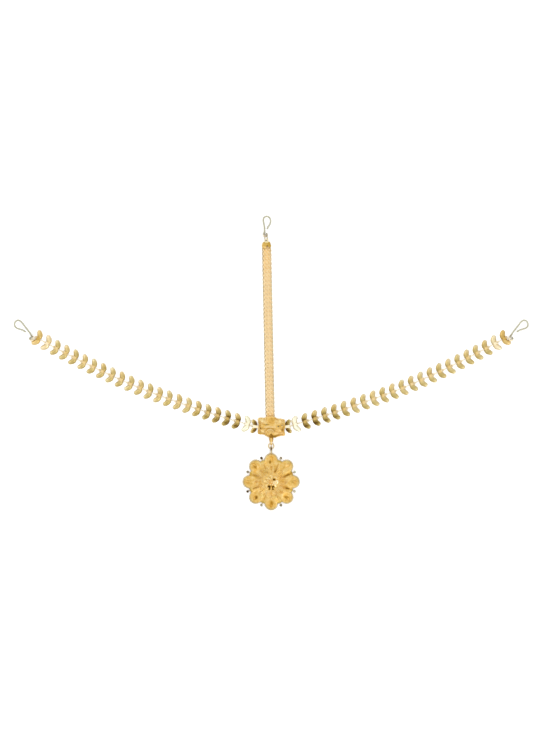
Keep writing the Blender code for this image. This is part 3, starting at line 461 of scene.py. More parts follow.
class Builder:
    """Collects points and faces with a tone and a warmth for each point, and becomes one object."""

    def __init__(self, patches=(), middle=(0.0, 0.0)):
        self.points = []
        self.tones = []
        self.warms = []
        self.faces = []
        self.count = 0
        self.patches = patches
        self.middle = middle

    def add(self, points, faces, tone=GOLD, warm=NEUTRAL):
        points = np.asarray(points, float)
        tones = np.broadcast_to(np.asarray(tone, float), len(points))
        warms = np.broadcast_to(np.asarray(warm, float), len(points))
        for patch in self.patches:
            near = patch.cover(points, self.middle)
            tones = tones + (patch.tone - tones) * near
            warms = warms + (patch.warm - warms) * near
        self.faces.extend(tuple(self.count + index for index in face) for face in faces)
        self.points.append(points)
        self.tones.append(tones)
        self.warms.append(warms)
        self.count += len(points)

    def piece(self, name, material, slot, *nodes):
        """Make the object, let it ride on the frame and stand for its solids."""
        mesh = bpy.data.meshes.new(name)
        mesh.from_pydata(np.concatenate(self.points).tolist(), [], self.faces)
        for label, values in (("tone", self.tones), ("warm", self.warms)):
            attribute = mesh.attributes.new(label, "FLOAT", "POINT")
            attribute.data.foreach_set("value", np.concatenate(values).astype(np.float32))
        mesh.materials.append(material)
        mesh.shade_smooth()
        mesh.set_sharp_from_angle(angle=math.radians(50))
        item = bpy.data.objects.new(name, mesh)
        bpy.context.scene.collection.objects.link(item)
        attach(item, "root")
        if nodes:
            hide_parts(*nodes)
        return item


def moved(points, matrix):
    """Points under a matrix."""
    grid = np.array(matrix)
    return np.asarray(points, float) @ grid[:3, :3].T + grid[:3, 3]


def moved_point(x, y, z, matrix):
    """One point under a matrix."""
    return moved([(x, y, z)], matrix)[0]


def in_mm(points, start=0.0):
    """Points of the plane that are listed in mm, from a start along Y."""
    return [(x * MM, start + y * MM) for x, y in points]


def grid_faces(rows, columns, close_rows=False, close_columns=False):
    """Quads of a grid of points that is stored row by row."""
    faces = []
    for row in range(rows if close_rows else rows - 1):
        below = (row + 1) % rows
        for column in range(columns if close_columns else columns - 1):
            beside = (column + 1) % columns
            faces.append((row * columns + column, row * columns + beside,
                          below * columns + beside, below * columns + column))
    return faces


def fan_faces(first, steps, top):
    """Faces from a ring of points, whose first has a number, up to one point."""
    return [(first + index, first + (index + 1) % steps, top) for index in range(steps)]


def smooth_curve(points, steps, closed=False):
    """Catmull-Rom points through the given points, as an array."""
    points = np.asarray(points, float)
    if closed:
        ends = np.concatenate((points[-1:], points, points[:2]))
    else:
        ends = np.concatenate((2 * points[:1] - points[1:2], points, 2 * points[-1:] - points[-2:-1]))
    result = []
    for a, b, c, d in zip(ends, ends[1:], ends[2:], ends[3:]):
        for step in range(steps):
            t = step / steps
            result.append((2 * b + (c - a) * t + (2 * a - 5 * b + 4 * c - d) * t ** 2
                           + (3 * b - a - 3 * c + d) * t ** 3) / 2)
    if not closed:
        result.append(points[-1])
    return np.array(result)


def tube(builder, points, radius, sides, closed=False, tone=GOLD, warm=NEUTRAL, flat=1.0):
    """Round wire along points; the radius may be one value for each point, and flat squeezes it in Z."""
    points = np.asarray(points, float)
    count = len(points)
    radii = np.broadcast_to(np.asarray(radius, float), count)
    if closed:
        heading = np.roll(points, -1, 0) - np.roll(points, 1, 0)
    else:
        heading = np.gradient(points, axis=0)
    heading /= np.linalg.norm(heading, axis=1)[:, None]
    side = np.cross(heading[0], (0.0, 0.0, 1.0))
    if np.linalg.norm(side) < 0.1:
        side = np.cross(heading[0], (0.0, 1.0, 0.0))
    sides_at = []
    for direction in heading:
        side = side - direction * np.dot(side, direction)
        side /= np.linalg.norm(side)
        sides_at.append(side)
    sides_at = np.array(sides_at)
    ups = np.cross(sides_at, heading)
    turns = TAU * (np.arange(sides) + 0.5) / sides
    ring = (sides_at[:, None, :] * np.cos(turns)[None, :, None]
            + ups[:, None, :] * np.sin(turns)[None, :, None] * flat)
    verts = (points[:, None, :] + ring * radii[:, None, None]).reshape(-1, 3)
    tones = np.repeat(np.broadcast_to(np.asarray(tone, float), count), sides)
    warms = np.repeat(np.broadcast_to(np.asarray(warm, float), count), sides)
    faces = grid_faces(count, sides, close_rows=closed, close_columns=True)
    if not closed:
        faces.append(tuple(range(sides)))
        faces.append(tuple(reversed(range((count - 1) * sides, count * sides))))
    builder.add(verts, faces, tones, warms)


def polar(radius, turns, height=0.0, centre=(0.0, 0.0)):
    """Points from radii, angles and heights, each a number or an array."""
    x = centre[0] + radius * np.cos(turns)
    y = centre[1] + radius * np.sin(turns)
    return np.stack(np.broadcast_arrays(x, y, height), axis=-1)


def circle(radius, steps, height=0.0, centre=(0.0, 0.0)):
    """Points of a whole circle."""
    return polar(radius, TAU * np.arange(steps) / steps, height, centre)


def arc(centre, radius, first, last, steps, height):
    """Points of an arc, from its first to its last angle in degrees."""
    return polar(radius, np.radians(np.linspace(first, last, steps)), height, centre)


def bead(builder, centre, radius, tone=GOLD, warm=NEUTRAL, sides=10, rings=6, squash=1.0):
    """Small sphere, closed with a point at each pole."""
    rows = []
    for ring in range(1, rings):
        tilt = math.pi * ring / rings
        rows.append(circle(radius * math.sin(tilt), sides, radius * squash * math.cos(tilt)))
    verts = np.concatenate(rows + [np.array([(0, 0, radius * squash), (0, 0, -radius * squash)])])
    faces = grid_faces(rings - 1, sides, close_columns=True)
    top, bottom = (rings - 1) * sides, (rings - 1) * sides + 1
    last = (rings - 2) * sides
    for side in range(sides):
        beside = (side + 1) % sides
        faces.append((top, beside, side))
        faces.append((bottom, last + side, last + beside))
    faces = [tuple(reversed(face)) for face in faces]
    builder.add(verts + np.asarray(centre, float), faces, tone, warm)


def standing_ring(builder, start, end, wire, height, middle, tone=GOLD, warm=NEUTRAL):
    """Upright ring with round ends, whose wire passes through two points in the plane."""
    heading = Vector((end[0] - start[0], end[1] - start[1], 0))
    bend = (height - wire) / 2
    points = []
    for far, first in ((0, math.pi / 2), (heading.length, -math.pi / 2)):
        inset = -bend if far else bend
        for step in range(9):
            turn = first + math.pi * step / 8
            points.append((far + inset + bend * math.cos(turn), 0, bend * math.sin(turn)))
    place = Matrix.Translation((start[0], start[1], middle))
    place = place @ Matrix.Rotation(math.atan2(heading.y, heading.x), 4, "Z")
    tube(builder, moved(points, place), wire / 2, 8, closed=True, tone=tone, warm=warm)


def washer_plate(builder, matrix, root, middle, hole, wall, low, thick, tone=GOLD, warm=NEUTRAL):
    """Flat tongue with a round eye: straight from its root, then round the hole."""
    steps = 24
    width = hole + wall
    outer = []
    inner = []
    for step in range(steps):
        turn = TAU * step / steps
        x, y = math.cos(turn), math.sin(turn)
        far = (middle + width * x, width * y)
        if x < -0.3:
            far = (root, width * 0.85 * (1 if y > 0 else -1) * min(1, abs(y) / 0.9 + 0.15))
        outer.append(far)
        inner.append((middle + hole * x, hole * y))
    bevel = 0.12 * thick
    rows = []
    for ring, height, grow in ((inner, low, 0), (outer, low, 0), (outer, low + thick - bevel, 0),
                               (outer, low + thick, -0.05 * MM), (inner, low + thick, 0)):
        rows.append([(x + grow * (1 if x > middle else 0), y, height) for x, y in ring])
    verts = moved(np.array(rows).reshape(-1, 3), matrix)
    faces = grid_faces(len(rows), steps, close_rows=True, close_columns=True)
    builder.add(verts, faces, tone, warm)


def plate(builder, outline, low, high, matrix, tone=GOLD, warm=NEUTRAL, bevel=0.15 * MM, bulge=0.0,
          rings=3):
    """Flat plate with a rounded upper edge; bulge raises its middle."""
    outline = np.asarray(outline, float)
    centre = outline.mean(axis=0)
    reach = np.linalg.norm(outline - centre, axis=1)[:, None]
    rows = []
    for inset, height in ((0, low), (0, high - bevel), (0.3 * bevel, high - 0.3 * bevel), (bevel, high)):
        ring = outline - (outline - centre) / reach * inset
        rows.append(np.column_stack((ring, np.full(len(ring), height))))
    for share in np.linspace(1, 0, rings + 1)[1:-1]:
        ring = centre + (rows[3][:, :2] - centre) * share
        rows.append(np.column_stack((ring, np.full(len(ring), high + bulge * (1 - share ** 2)))))
    rows.append(np.array([(*centre, high + bulge)]))
    steps = len(outline)
    verts = np.concatenate(rows)
    faces = grid_faces(len(rows) - 1, steps, close_columns=True)
    last = (len(rows) - 2) * steps
    top = len(verts) - 1
    faces += fan_faces(last, steps, top)
    faces.append(tuple(reversed(range(steps))))
    builder.add(moved(verts, matrix), faces, tone, warm)


# Side chains

class Route:
    """A curve in the plane that is read by the length along it."""

    def __init__(self, side):
        points = [CHAIN_START] + [(x * MM, y * MM) for x, y in SIDE_CHAIN_ROUTE_MM]
        self.side = side
        self.points = smooth_curve([(side * x, y) for x, y in points], 12)
        steps = np.linalg.norm(np.diff(self.points, axis=0), axis=1)
        self.lengths = np.concatenate(([0.0], np.cumsum(steps)))

    def at(self, length):
        """Point of the route at a length."""
        index = int(np.clip(np.searchsorted(self.lengths, length), 1, len(self.lengths) - 1))
        before, after = self.points[index - 1], self.points[index]
        share = (length - self.lengths[index - 1]) / (self.lengths[index] - self.lengths[index - 1])
        return before + (after - before) * share


def pair_length(number):
    """Length along the route to a pair's apex; pair 0 is soldered to the plaque."""
    return 0.0 if number == 0 else FIRST_PITCH + (number - 1) * LINK_PITCH


def pair_scale(number):
    return SOLDERED_SCALE if number == 0 else 1.0


def pair_matrix(route, number):
    """Place of a leaf pair: apex on the route, opening outward."""
    start = route.at(pair_length(number))
    end = route.at(pair_length(number) + LEAF_REACH)
    turn = math.atan2(end[1] - start[1], end[0] - start[0])
    if number == 0:
        turn -= route.side * SOLDERED_TURN
    return Matrix.Translation((start[0], start[1], 0)) @ Matrix.Rotation(turn, 4, "Z")


def eye_place(number):
    """Distance from a pair's apex to the middle of the eye in its tongue."""
    return CROTCH * LEAF_REACH * pair_scale(number) + EYE_AHEAD + EYE_HOLE


def eye_centre(route, number):
    place = pair_matrix(route, number) @ Vector((eye_place(number), 0, 0))
    return place.xy


def link_middle():
    return LINK_LIFT + LINK_HEIGHT / 2


def leaf_shade(number, upper):
    """Shade of a leaf of a pair; the dark pairs next to the plaque, with painted dark reflections, fade
    into the plain ones.
    """
    lower = 0 if upper else 1
    if number in OWN_SHADES:
        return np.array(OWN_SHADES[number][lower])
    faded = min(1.0, (number - FIRST_DARK_PAIR) / DARK_PAIRS)
    dark, plain = np.array(DARK_REFLECTION_SHADES[lower]), np.array(PLAIN_SHADES[lower])
    return dark + (plain - dark) * faded ** 1.5


def leaf_tones(number, side, upper, along, across):
    """Tone and warmth of a leaf, from its root to its tip and from its back edge to its front, with painted
    reflections, a painted highlight on the front and painted shade on the rim.
    """
    crotch, root, belly, tip, lift, rim, warm, crotch_warm = leaf_shade(number, upper)
    phase = number * 2.4 + (1.3 if upper else 0.2) + 0.9 * side
    front = np.clip(across, 0, 1) ** 1.3
    tone = np.interp(along, LEAF_SHADE_STEPS, (crotch, root, belly, tip)) + LEAF_RIPPLE * math.sin(phase)
    # Painted highlight: the front is paler; painted shade: the rim is darker
    tone = tone - lift * front + rim * np.abs(across) ** 5
    near = np.clip(1 - along / LEAF_SHADE_STEPS[1], 0, 1)
    warms = warm + (crotch_warm - warm) * near + LEAF_RIPPLE * 2 * math.cos(phase * 1.3)
    return np.clip(tone, 0, 1), np.clip(warms, 0, 1)


def leaf_pair(builder, matrix, number, side):
    """Two keeled, domed leaves stamped from thin sheet, with a rim all round and hollow beneath."""
    scale = pair_scale(number)
    mirrored = LEAF_ROWS[1:2] * (-1, 1, 1, 1, 1)
    rows = smooth_curve(np.concatenate((mirrored, LEAF_ROWS)), LEAF_ROW_STEPS)[LEAF_ROW_STEPS:]
    across = np.linspace(-1, 1, LEAF_COLUMNS)
    for leaf in (1, -1):
        span, back, ridge, front, crown = rows.T
        share = np.where(across < 0, across + 1, across)
        low = np.where(across < 0, back[:, None], ridge[:, None])
        high = np.where(across < 0, ridge[:, None], front[:, None])
        along = (low + (high - low) * share) * LEAF_REACH * scale
        profile = 1 - np.abs(across) ** 2
        lift = np.clip(crown * LEAF_CROWN - LEAF_EDGE, 0, None)
        top = LEAF_EDGE + lift[:, None] * profile
        width = np.repeat(span[:, None] * leaf * LEAF_SPAN / 2 * scale, LEAF_COLUMNS, axis=1)
        bottom = np.clip(top - LEAF_WALL, 0.02 * MM, None)
        upper = np.stack((along, width, top), axis=2).reshape(-1, 3)
        lower = np.stack((along, width, bottom), axis=2).reshape(-1, 3)
        count = len(rows)
        total = count * LEAF_COLUMNS
        faces = grid_faces(count, LEAF_COLUMNS)
        faces += [tuple(total + index for index in reversed(face)) for face in faces]
        for row in range(count - 1):
            for column, turn in ((0, 1), (LEAF_COLUMNS - 1, -1)):
                near, far = row * LEAF_COLUMNS + column, (row + 1) * LEAF_COLUMNS + column
                wall = (near, far, total + far, total + near)
                faces.append(wall[::turn])
        if leaf > 0:
            faces = [tuple(reversed(face)) for face in faces]
        reach = np.repeat(span[:, None], LEAF_COLUMNS, axis=1)
        spread = np.repeat(across[None, :], count, axis=0)
        tone, warm = leaf_tones(number, side, leaf * side > 0, reach, spread)
        tones = np.tile(tone.reshape(-1), 2)
        warms = np.tile(warm.reshape(-1), 2)
        builder.add(moved(np.concatenate((upper, lower)), matrix), faces, tones, warms)


def eye_shade(number):
    """Tone and warmth of a pair's eye: a little paler than the crotch in front of it, as a painted
    highlight.
    """
    if number == 0:
        return SOLDERED_EYE_SHADE
    shade = leaf_shade(number, True)
    return max(0.0, shade[0] - EYE_HIGHLIGHT_LIFT), shade[-1]


def leaf_links(builder, wires, side, first, last):
    """Leaf pairs from first to last with their eyes, each hung by a ring on the pair before it."""
    route = Route(side)
    low = link_middle() - EYE_THICK / 2
    for number in range(first, last + 1):
        place = pair_matrix(route, number)
        leaf_pair(builder, place, number, side)
        root = SOLDERED_ROOT if number == 0 else TONGUE_ROOT
        washer_plate(builder, place, root, eye_place(number), EYE_HOLE, EYE_WALL, low, EYE_THICK,
                     *eye_shade(number))
        if number == 0:
            continue
        apex = place @ Vector((APEX_HOLE, 0, 0))
        standing_ring(wires, eye_centre(route, number - 1), apex, LINK_WIRE, LINK_HEIGHT, link_middle(),
                      tone=LINK_TONE, warm=LINK_WARM)


def side_chains(leaf, wire):
    for side, label in ((-1, "left"), (1, "right")):
        for string, first, last in (("inner", 1, INNER_PAIRS), ("outer", INNER_PAIRS + 1, LOOSE_PAIRS)):
            leaves = Builder()
            rings = Builder()
            leaf_links(leaves, rings, side, first, last)
            node = "leaf_chain_" + label + "_" + string
            leaves.piece("leaves_" + label + "_" + string, leaf, "leaf_gold", node)
            rings.piece("rings_" + label + "_" + string, wire, "wire_gold")


# Hooks and rings

def hook_points(length, bend, bend_side, eye_start):
    """Line of a hook's wire in its own plane: round the eye, along the leg and round the loop."""
    eye = polar(HOOK_EYE, np.linspace(eye_start, HOOK_EYE_END, 28))[:, :2]
    leg = np.array([(0, HOOK_EYE)] + [(along * length, across * HOOK_WIDTH) for along, across in bend])
    flat = np.concatenate((eye[:-1], smooth_curve(leg, 8)))
    return np.stack((flat[:, 0], flat[:, 1] * bend_side, np.zeros(len(flat))), axis=1)


def hook_place(eye, eye_height, angle, length):
    """Lay a hook from its eye down to its far end, which rests on the surface."""
    drop = math.atan2(eye_height - HOOK_WIRE / 2, length)
    turned = Matrix.Rotation(angle, 4, "Z") @ Matrix.Rotation(drop, 4, "Y")
    return Matrix.Translation((eye[0], eye[1], eye_height)) @ turned


def hook(name, place, length, bend, bend_side, eye_start, eye_tone, material):
    """Bent wire hook, its free end filed round, with a short wrap at the root of its leg."""
    builder = Builder()
    points = hook_points(length, bend, bend_side, eye_start)
    radii = np.full(len(points), HOOK_WIRE / 2 * HOOK_SHOWN)
    radii[-1] *= 0.45
    radii[-2] *= 0.85
    root = np.clip(1 - points[:, 0] / HOOK_ROOT, 0, 1)
    under = np.clip(0.6 - points[:, 0] / HOOK_EYE, 0, 1)
    aside = np.clip(0.4 - points[:, 1] * bend_side / HOOK_EYE, 0, 1) * under
    # Painted light: darker towards the leg's root as a reflection, pale round the eye as a highlight, and
    # the eye's far side in the tone given for it
    tones = HOOK_TONE + HOOK_ROOT_REFLECTION * root
    tones = tones + (HOOK_EYE_HIGHLIGHT_TONE - tones) * under
    tones = tones + (eye_tone - tones) * aside
    tube(builder, moved(points, place), radii, 12, tone=tones, warm=0.2 + 0.5 * under)
    share = np.linspace(0, 1, WRAP_TURNS * 12)
    along = WRAP_START + share * WRAP_LENGTH
    leg_end = (bend[0][0] * length, bend[0][1] * HOOK_WIDTH)
    leg = np.interp(along, (0, leg_end[0]), (HOOK_EYE, leg_end[1]))
    turns = share * WRAP_TURNS * TAU
    reach = HOOK_WIRE / 2 + WRAP_WIRE / 2
    wrap = np.stack((along, bend_side * (leg + reach * np.cos(turns)), reach * np.sin(turns)), axis=1)
    tube(builder, moved(wrap, place), WRAP_WIRE / 2, 8, tone=WRAP_TONE, warm=WRAP_WARM)
    builder.piece(name + "_bent_wire", material, "wire_gold", name)


def side_hooks(material):
    for side, label in ((-1, "left"), (1, "right")):
        route = Route(side)
        last = eye_centre(route, LOOSE_PAIRS)
        heading = (last - Vector(route.at(pair_length(LOOSE_PAIRS)))).normalized()
        reach = EYE_HOLE + TONGUE_WALL + HOOK_EYE + HOOK_WIRE / 2 + HOOK_RING_SLACK
        eye = last + (Matrix.Rotation(side * HOOK_RING_TURN, 2) @ heading) * reach
        middle = LINK_LIFT + HOOK_RING_HEIGHT / 2
        ring = Builder()
        standing_ring(ring, last, eye, LINK_WIRE, HOOK_RING_HEIGHT, middle, tone=HOOK_RING_HIGHLIGHT_TONE)
        ring.piece(label + "_hook_round_ring", material, "wire_gold", label + "_hook_ring")
        angle = SIDE_HOOK_ANGLE if side > 0 else math.pi - SIDE_HOOK_ANGLE
        place = hook_place(eye, middle, angle, SIDE_HOOK_LENGTH)
        hook(label + "_hook", place, SIDE_HOOK_LENGTH, SIDE_HOOK_BEND, side, SIDE_HOOK_EYE_START,
             SIDE_HOOK_EYE_HIGHLIGHT_TONE, material)


# Centre band

def band_matrix():
    foot = Matrix.Translation((BAND_FOOT_X, PLAQUE_HEIGHT / 2, 0))
    return foot @ Matrix.Rotation(BAND_LEAN, 4, "Z")


def band_glow(y):
    """How much more golden the band is towards the cap and over its last part above the plaque."""
    return float(np.interp(y, (0, BAND_FOOT_GLOW, BAND_LENGTH - BAND_CAP_GLOW, BAND_LENGTH), (1, 0, 0, 1)))


def band_links(builder, place, repeats, spacing):
    """Columns of small oval links, each column half a pitch from the next, leaning to lock together."""
    pitch = BAND_LENGTH / repeats
    turns = TAU * np.arange(BAND_LINK_STEPS) / BAND_LINK_STEPS
    ends = np.abs(np.sin(turns)) ** 4
    half_long = pitch * 0.56
    for column in range(BAND_COLUMNS):
        x = (column - (BAND_COLUMNS - 1) / 2) * spacing
        odd = column % 2
        lean = BAND_LINK_LEAN if odd else -BAND_LINK_LEAN
        for step in range(-odd, repeats):
            y = SEAT_GAP + (step + 0.5 + 0.49 * odd) * pitch
            reach = half_long
            if step < 0:
                y += 0.35 * pitch
                reach = half_long / 2
            if y > SEAT_GAP + BAND_LENGTH - half_long / 2:
                continue
            oval = np.stack((BAND_LINK_HALF * np.cos(turns), reach * np.sin(turns), 0 * turns), axis=1)
            link = Matrix.Translation((x, y, BAND_THICK / 2)) @ Matrix.Rotation(lean, 4, "Y")
            oval = moved(oval, link @ Matrix.Rotation(BAND_LINK_TURN, 4, "Z"))
            edge = np.clip((np.abs(oval[:, 0]) - 1.9 * MM) / (1.0 * MM), 0, 1)
            glow = band_glow(y)
            # Painted shade: darker at each link's ends where the links overlap, less near the band's ends,
            # and at the band's edges, the left more than the right
            edge_shade_tones = edge * np.where(oval[:, 0] < 0, 0.42, 0.24)
            tones = 0.385 + 0.22 * ends * (1 - glow) + edge_shade_tones + 0.10 * glow
            warms = 0.50 + 0.20 * odd + 0.30 * glow - 0.25 * edge
            tube(builder, moved(oval, place), BAND_WIRE / 2, 7, closed=True, tone=tones, warm=warms)


def band_stitches(builder, place, repeats, spacing):
    """Short bent wires between the columns, which close the gaps of the weave."""
    pitch = BAND_LENGTH / repeats
    middle = BAND_THICK / 2
    for column in range(BAND_COLUMNS - 1):
        x = (column + 0.5 - (BAND_COLUMNS - 1) / 2) * spacing
        for step in range(2 * repeats):
            y = SEAT_GAP + (step + 0.5) * pitch / 2
            glow = band_glow(y)
            stitch = moved([(x - 0.5 * MM, y, middle * 0.8), (x, y + 0.1 * MM, middle * 1.25),
                            (x + 0.5 * MM, y, middle * 0.8)], place)
            tube(builder, smooth_curve(stitch, 3), BAND_STITCH_WIRE, 6,
                 tone=0.56 - 0.18 * (step % 2) - 0.10 * glow, warm=0.75 + 0.15 * glow)


def band_dots(builder, place, repeats):
    """Row of granules along each edge, the right row half a pitch further up."""
    for side, start, tone in ((-1, 0.0, 0.70), (1, 0.5, 0.58)):
        for step in range(repeats):
            y = SEAT_GAP + (step + start) * BAND_LENGTH / repeats
            if SEAT_GAP < y < BAND_LENGTH:
                spot = moved_point(side * (BAND_WIDTH / 2 - BAND_DOT), y, BAND_THICK / 2, place)
                bead(builder, spot, BAND_DOT, tone=tone, warm=0.55)


def band_ends(builder, place):
    """Wires of the band's two ends, inside the plaque's socket and inside the cap."""
    middle = BAND_THICK / 2
    for low, high in ((0.3 * MM - SOCKET_DEPTH, 0.4 * MM), (BAND_LENGTH, BAND_LENGTH + 2.9 * MM)):
        for row in range(5):
            x = BAND_TONGUE_WIDTH / 2 * (row - 2) / 2.5
            tube(builder, moved([(x, low, middle), (x, high, middle)], place), BAND_END_WIRE, 8, tone=0.5)


def woven_band(material):
    """Woven centre chain: links, stitches and edge dots on a plain core, with wires at both ends."""
    place = band_matrix()
    builder = Builder()
    repeats = round(BAND_LENGTH / BAND_PITCH)
    spacing = (BAND_WIDTH - 2 * BAND_LINK_HALF - BAND_WIRE) / (BAND_COLUMNS - 1)
    core = BAND_WIDTH / 2 - 0.35 * MM
    outline = [(-core, 0), (core, 0), (core, BAND_LENGTH + SEAT_GAP), (-core, BAND_LENGTH + SEAT_GAP)]
    plate(builder, outline, 0.1 * MM, 0.1 * MM + BAND_CORE, place, tone=0.48)
    band_links(builder, place, repeats, spacing)
    band_stitches(builder, place, repeats, spacing)
    band_dots(builder, place, repeats)
    band_ends(builder, place)
    builder.piece("woven_band", material, "band_gold", "band")


def cap_floor():
    return SEAT_GAP + BAND_LENGTH + SEAT_GAP / 2


def cap_top():
    return cap_floor() + CAP_LENGTH / 2 + CAP_TOP_WALL


def cap_eye():
    return cap_top() + CAP_EYE_HOLE + SEAT_GAP


def band_ring_height():
    return BAND_RING_RADIUS * math.sin(BAND_RING_TILT) + BAND_RING_WIRE / 2


def band_cap(material):
    """Crimp with two flaps folded over the band's end, its walls and its eye."""
    place = band_matrix()
    builder = Builder()
    floor, top = cap_floor(), cap_top()
    low = BAND_THICK + SEAT_GAP
    for flap, height, tone, warm in ((RIGHT_FLAP_MM, 0.55, 0.60, 0.25), (LEFT_FLAP_MM, 0.8, 0.50, 0.28)):
        outline = smooth_curve(in_mm(flap, floor), 4, closed=True)
        plate(builder, outline, low, low + height * CAP_PLATE, place, tone=tone, warm=warm,
              bulge=0.15 * MM, rings=5)
    fold = moved_point(-1.5 * MM, floor + 0.3 * MM, low + CAP_PLATE * 0.75, place)
    bead(builder, fold, 1.25 * MM, tone=0.38, warm=0.45, sides=16, rings=8, squash=0.3)
    half, narrow = 3.1 * MM, CAP_TOP_WIDTH / 2
    for side in (-1, 1):
        wall = [(side * (half - 0.6 * MM), floor), (side * half, floor + 0.4 * MM),
                (side * half, floor + 1.6 * MM), (side * narrow, top), (side * (narrow - 0.6 * MM), top)]
        if side < 0:
            wall = wall[::-1]
        plate(builder, wall, 0, low + 0.1 * MM, place, tone=DEEP, warm=0.2)
    crown = [(-narrow, top - CAP_TOP_WALL), (narrow, top - CAP_TOP_WALL), (narrow * 0.96, top),
             (-narrow * 0.96, top)]
    plate(builder, crown, 0, low + CAP_PLATE, place, tone=0.66, warm=0.25)
    washer_plate(builder, place @ Matrix.Rotation(math.pi / 2, 4, "Z"), top - CAP_TOP_WALL / 2, cap_eye(),
                 CAP_EYE_HOLE, CAP_EYE_WALL, band_ring_height() - 0.25 * MM, 0.5 * MM, 0.16, 0.2)
    builder.piece("crimp_cap", material, "cast_gold", "band_end_cap")


def upper_ring_and_hook(material):
    height = band_ring_height()
    heading = Vector((-math.sin(BAND_RING_LEAN), math.cos(BAND_RING_LEAN), 0))
    from_cap = BAND_RING_RADIUS - BAND_RING_OVERLAP + CAP_EYE_HOLE + CAP_EYE_WALL / 2
    middle = band_matrix() @ Vector((0, cap_eye(), height)) + heading * from_cap
    ring = Builder()
    turned = Matrix.Rotation(BAND_RING_LEAN, 4, "Z") @ Matrix.Rotation(BAND_RING_TILT, 4, "Y")
    place = Matrix.Translation(middle) @ turned
    tube(ring, moved(circle(BAND_RING_RADIUS, 40), place), BAND_RING_WIRE / 2, 10, closed=True, tone=0.52)
    ring.piece("band_round_ring", material, "wire_gold", "band_ring")
    eye = middle + heading * (BAND_RING_RADIUS - BAND_RING_OVERLAP + HOOK_EYE)
    place = hook_place(eye, height, TOP_HOOK_ANGLE, TOP_HOOK_LENGTH)
    hook("top_hook", place, TOP_HOOK_LENGTH, TOP_HOOK_BEND, 1, TOP_HOOK_EYE_START, TOP_HOOK_EYE_REFLECTION_TONE,
         material)


# Bails and jump ring

def jump_ring_middle():
    return Vector((0, -PLAQUE_HEIGHT / 2 - JUMP_RING_DROP, BAIL_OPENING / 2 + BAIL_WIRE))


def bail_reach():
    """Distance from the jump ring's wire to the bail's wire inside it."""
    return JUMP_RING_WIRE / 2 + RING_GAP + BAIL_WIRE / 2


def bail(builder, upper, lower, tone, warm):
    """Upright bail across the jump ring, between two places of its wire along Y."""
    height = BAIL_OPENING + 2 * BAIL_WIRE
    standing_ring(builder, (0, upper), (0, lower), BAIL_WIRE, height, jump_ring_middle().z, tone, warm)


def pendant_bail_top():
    return jump_ring_middle().y - JUMP_RING_RADIUS + bail_reach()


def flower_middle():
    """Centre of the pendant, below the bail on its upper petal."""
    return Vector((0, pendant_bail_top() - PENDANT_BAIL_LENGTH + BAIL_BITE - PETAL_REACH, 0))


def pendant_ring(material):
    builder = Builder()
    place = Matrix.Translation(jump_ring_middle())
    tube(builder, moved(circle(JUMP_RING_RADIUS, 40), place), JUMP_RING_WIRE / 2 * JUMP_RING_SHOWN, 10,
         closed=True, tone=JUMP_RING_TONE, warm=JUMP_RING_WARM)
    builder.piece("pendant_round_ring", material, "wire_gold", "pendant_jump_ring")


# Plaque

def plaque_base(material):
    """Plate with a slightly domed face, pierced by round holes, with dark walls and a dark disc low in each
    hole as painted shade.
    """
    outline = smooth_curve(np.array(PLAQUE_OUTLINE) * PLAQUE_HALF, 4, closed=True)
    base = Builder(PLAQUE_SHADING_PATCHES)
    plate(base, outline, 0, PLAQUE_THICK, Matrix(), tone=0.42, bulge=0.25 * MM, rings=14)
    item = base.piece("plaque_base", material, "cast_gold", "centre_plaque")
    hole_shades = Builder()
    for index, hole in enumerate(PLAQUE_HOLES):
        x, y = np.array(hole) * PLAQUE_HALF
        bpy.ops.mesh.primitive_cylinder_add(vertices=20, radius=PLAQUE_HOLE, depth=4 * PLAQUE_THICK,
                                            location=(x, y, PLAQUE_THICK))
        tool = bpy.context.object
        tool.name = "plaque_drill_%d" % index
        # The drill gives each hole's wall a dark tone: painted shade
        for label, value in (("tone", BROWN), ("warm", NEUTRAL)):
            attribute = tool.data.attributes.new(label, "FLOAT", "POINT")
            attribute.data.foreach_set("value", np.full(len(tool.data.vertices), value, np.float32))
        modifier = item.modifiers.new(tool.name, "BOOLEAN")
        modifier.object = tool
        modifier.operation = "DIFFERENCE"
        tool.hide_render = True
        tool.hide_viewport = True
        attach(tool, "root")
        # A dark disc low in each hole: painted shade
        shade_disc = circle(PLAQUE_HOLE + 0.1 * MM, 16, centre=(x, y))[:, :2]
        plate(hole_shades, shade_disc, 0.3 * MM, PLAQUE_THICK - HOLE_SHADE_DEPTH, Matrix(), tone=HOLE_SHADE_TONE, warm=0.8,
              bevel=0.05 * MM)
    hole_shades.piece("plaque_hole_shades", material, "cast_gold")
    return outline


def plaque_edge(relief, outline, top):
    """Rim wire and a row of granules just inside it."""
    centre = outline.mean(axis=0)
    inner = centre + (outline - centre) * 0.94
    rim = np.column_stack((inner, np.full(len(inner), top - 0.05 * MM)))
    tube(relief, rim, 0.36 * MM, 8, closed=True, tone=0.48)
    for index, spot in enumerate(centre + (outline - centre) * 0.85):
        bead(relief, (spot[0], spot[1], top + 0.05 * MM), 0.3 * MM, tone=0.3 if index % 3 else 0.55)


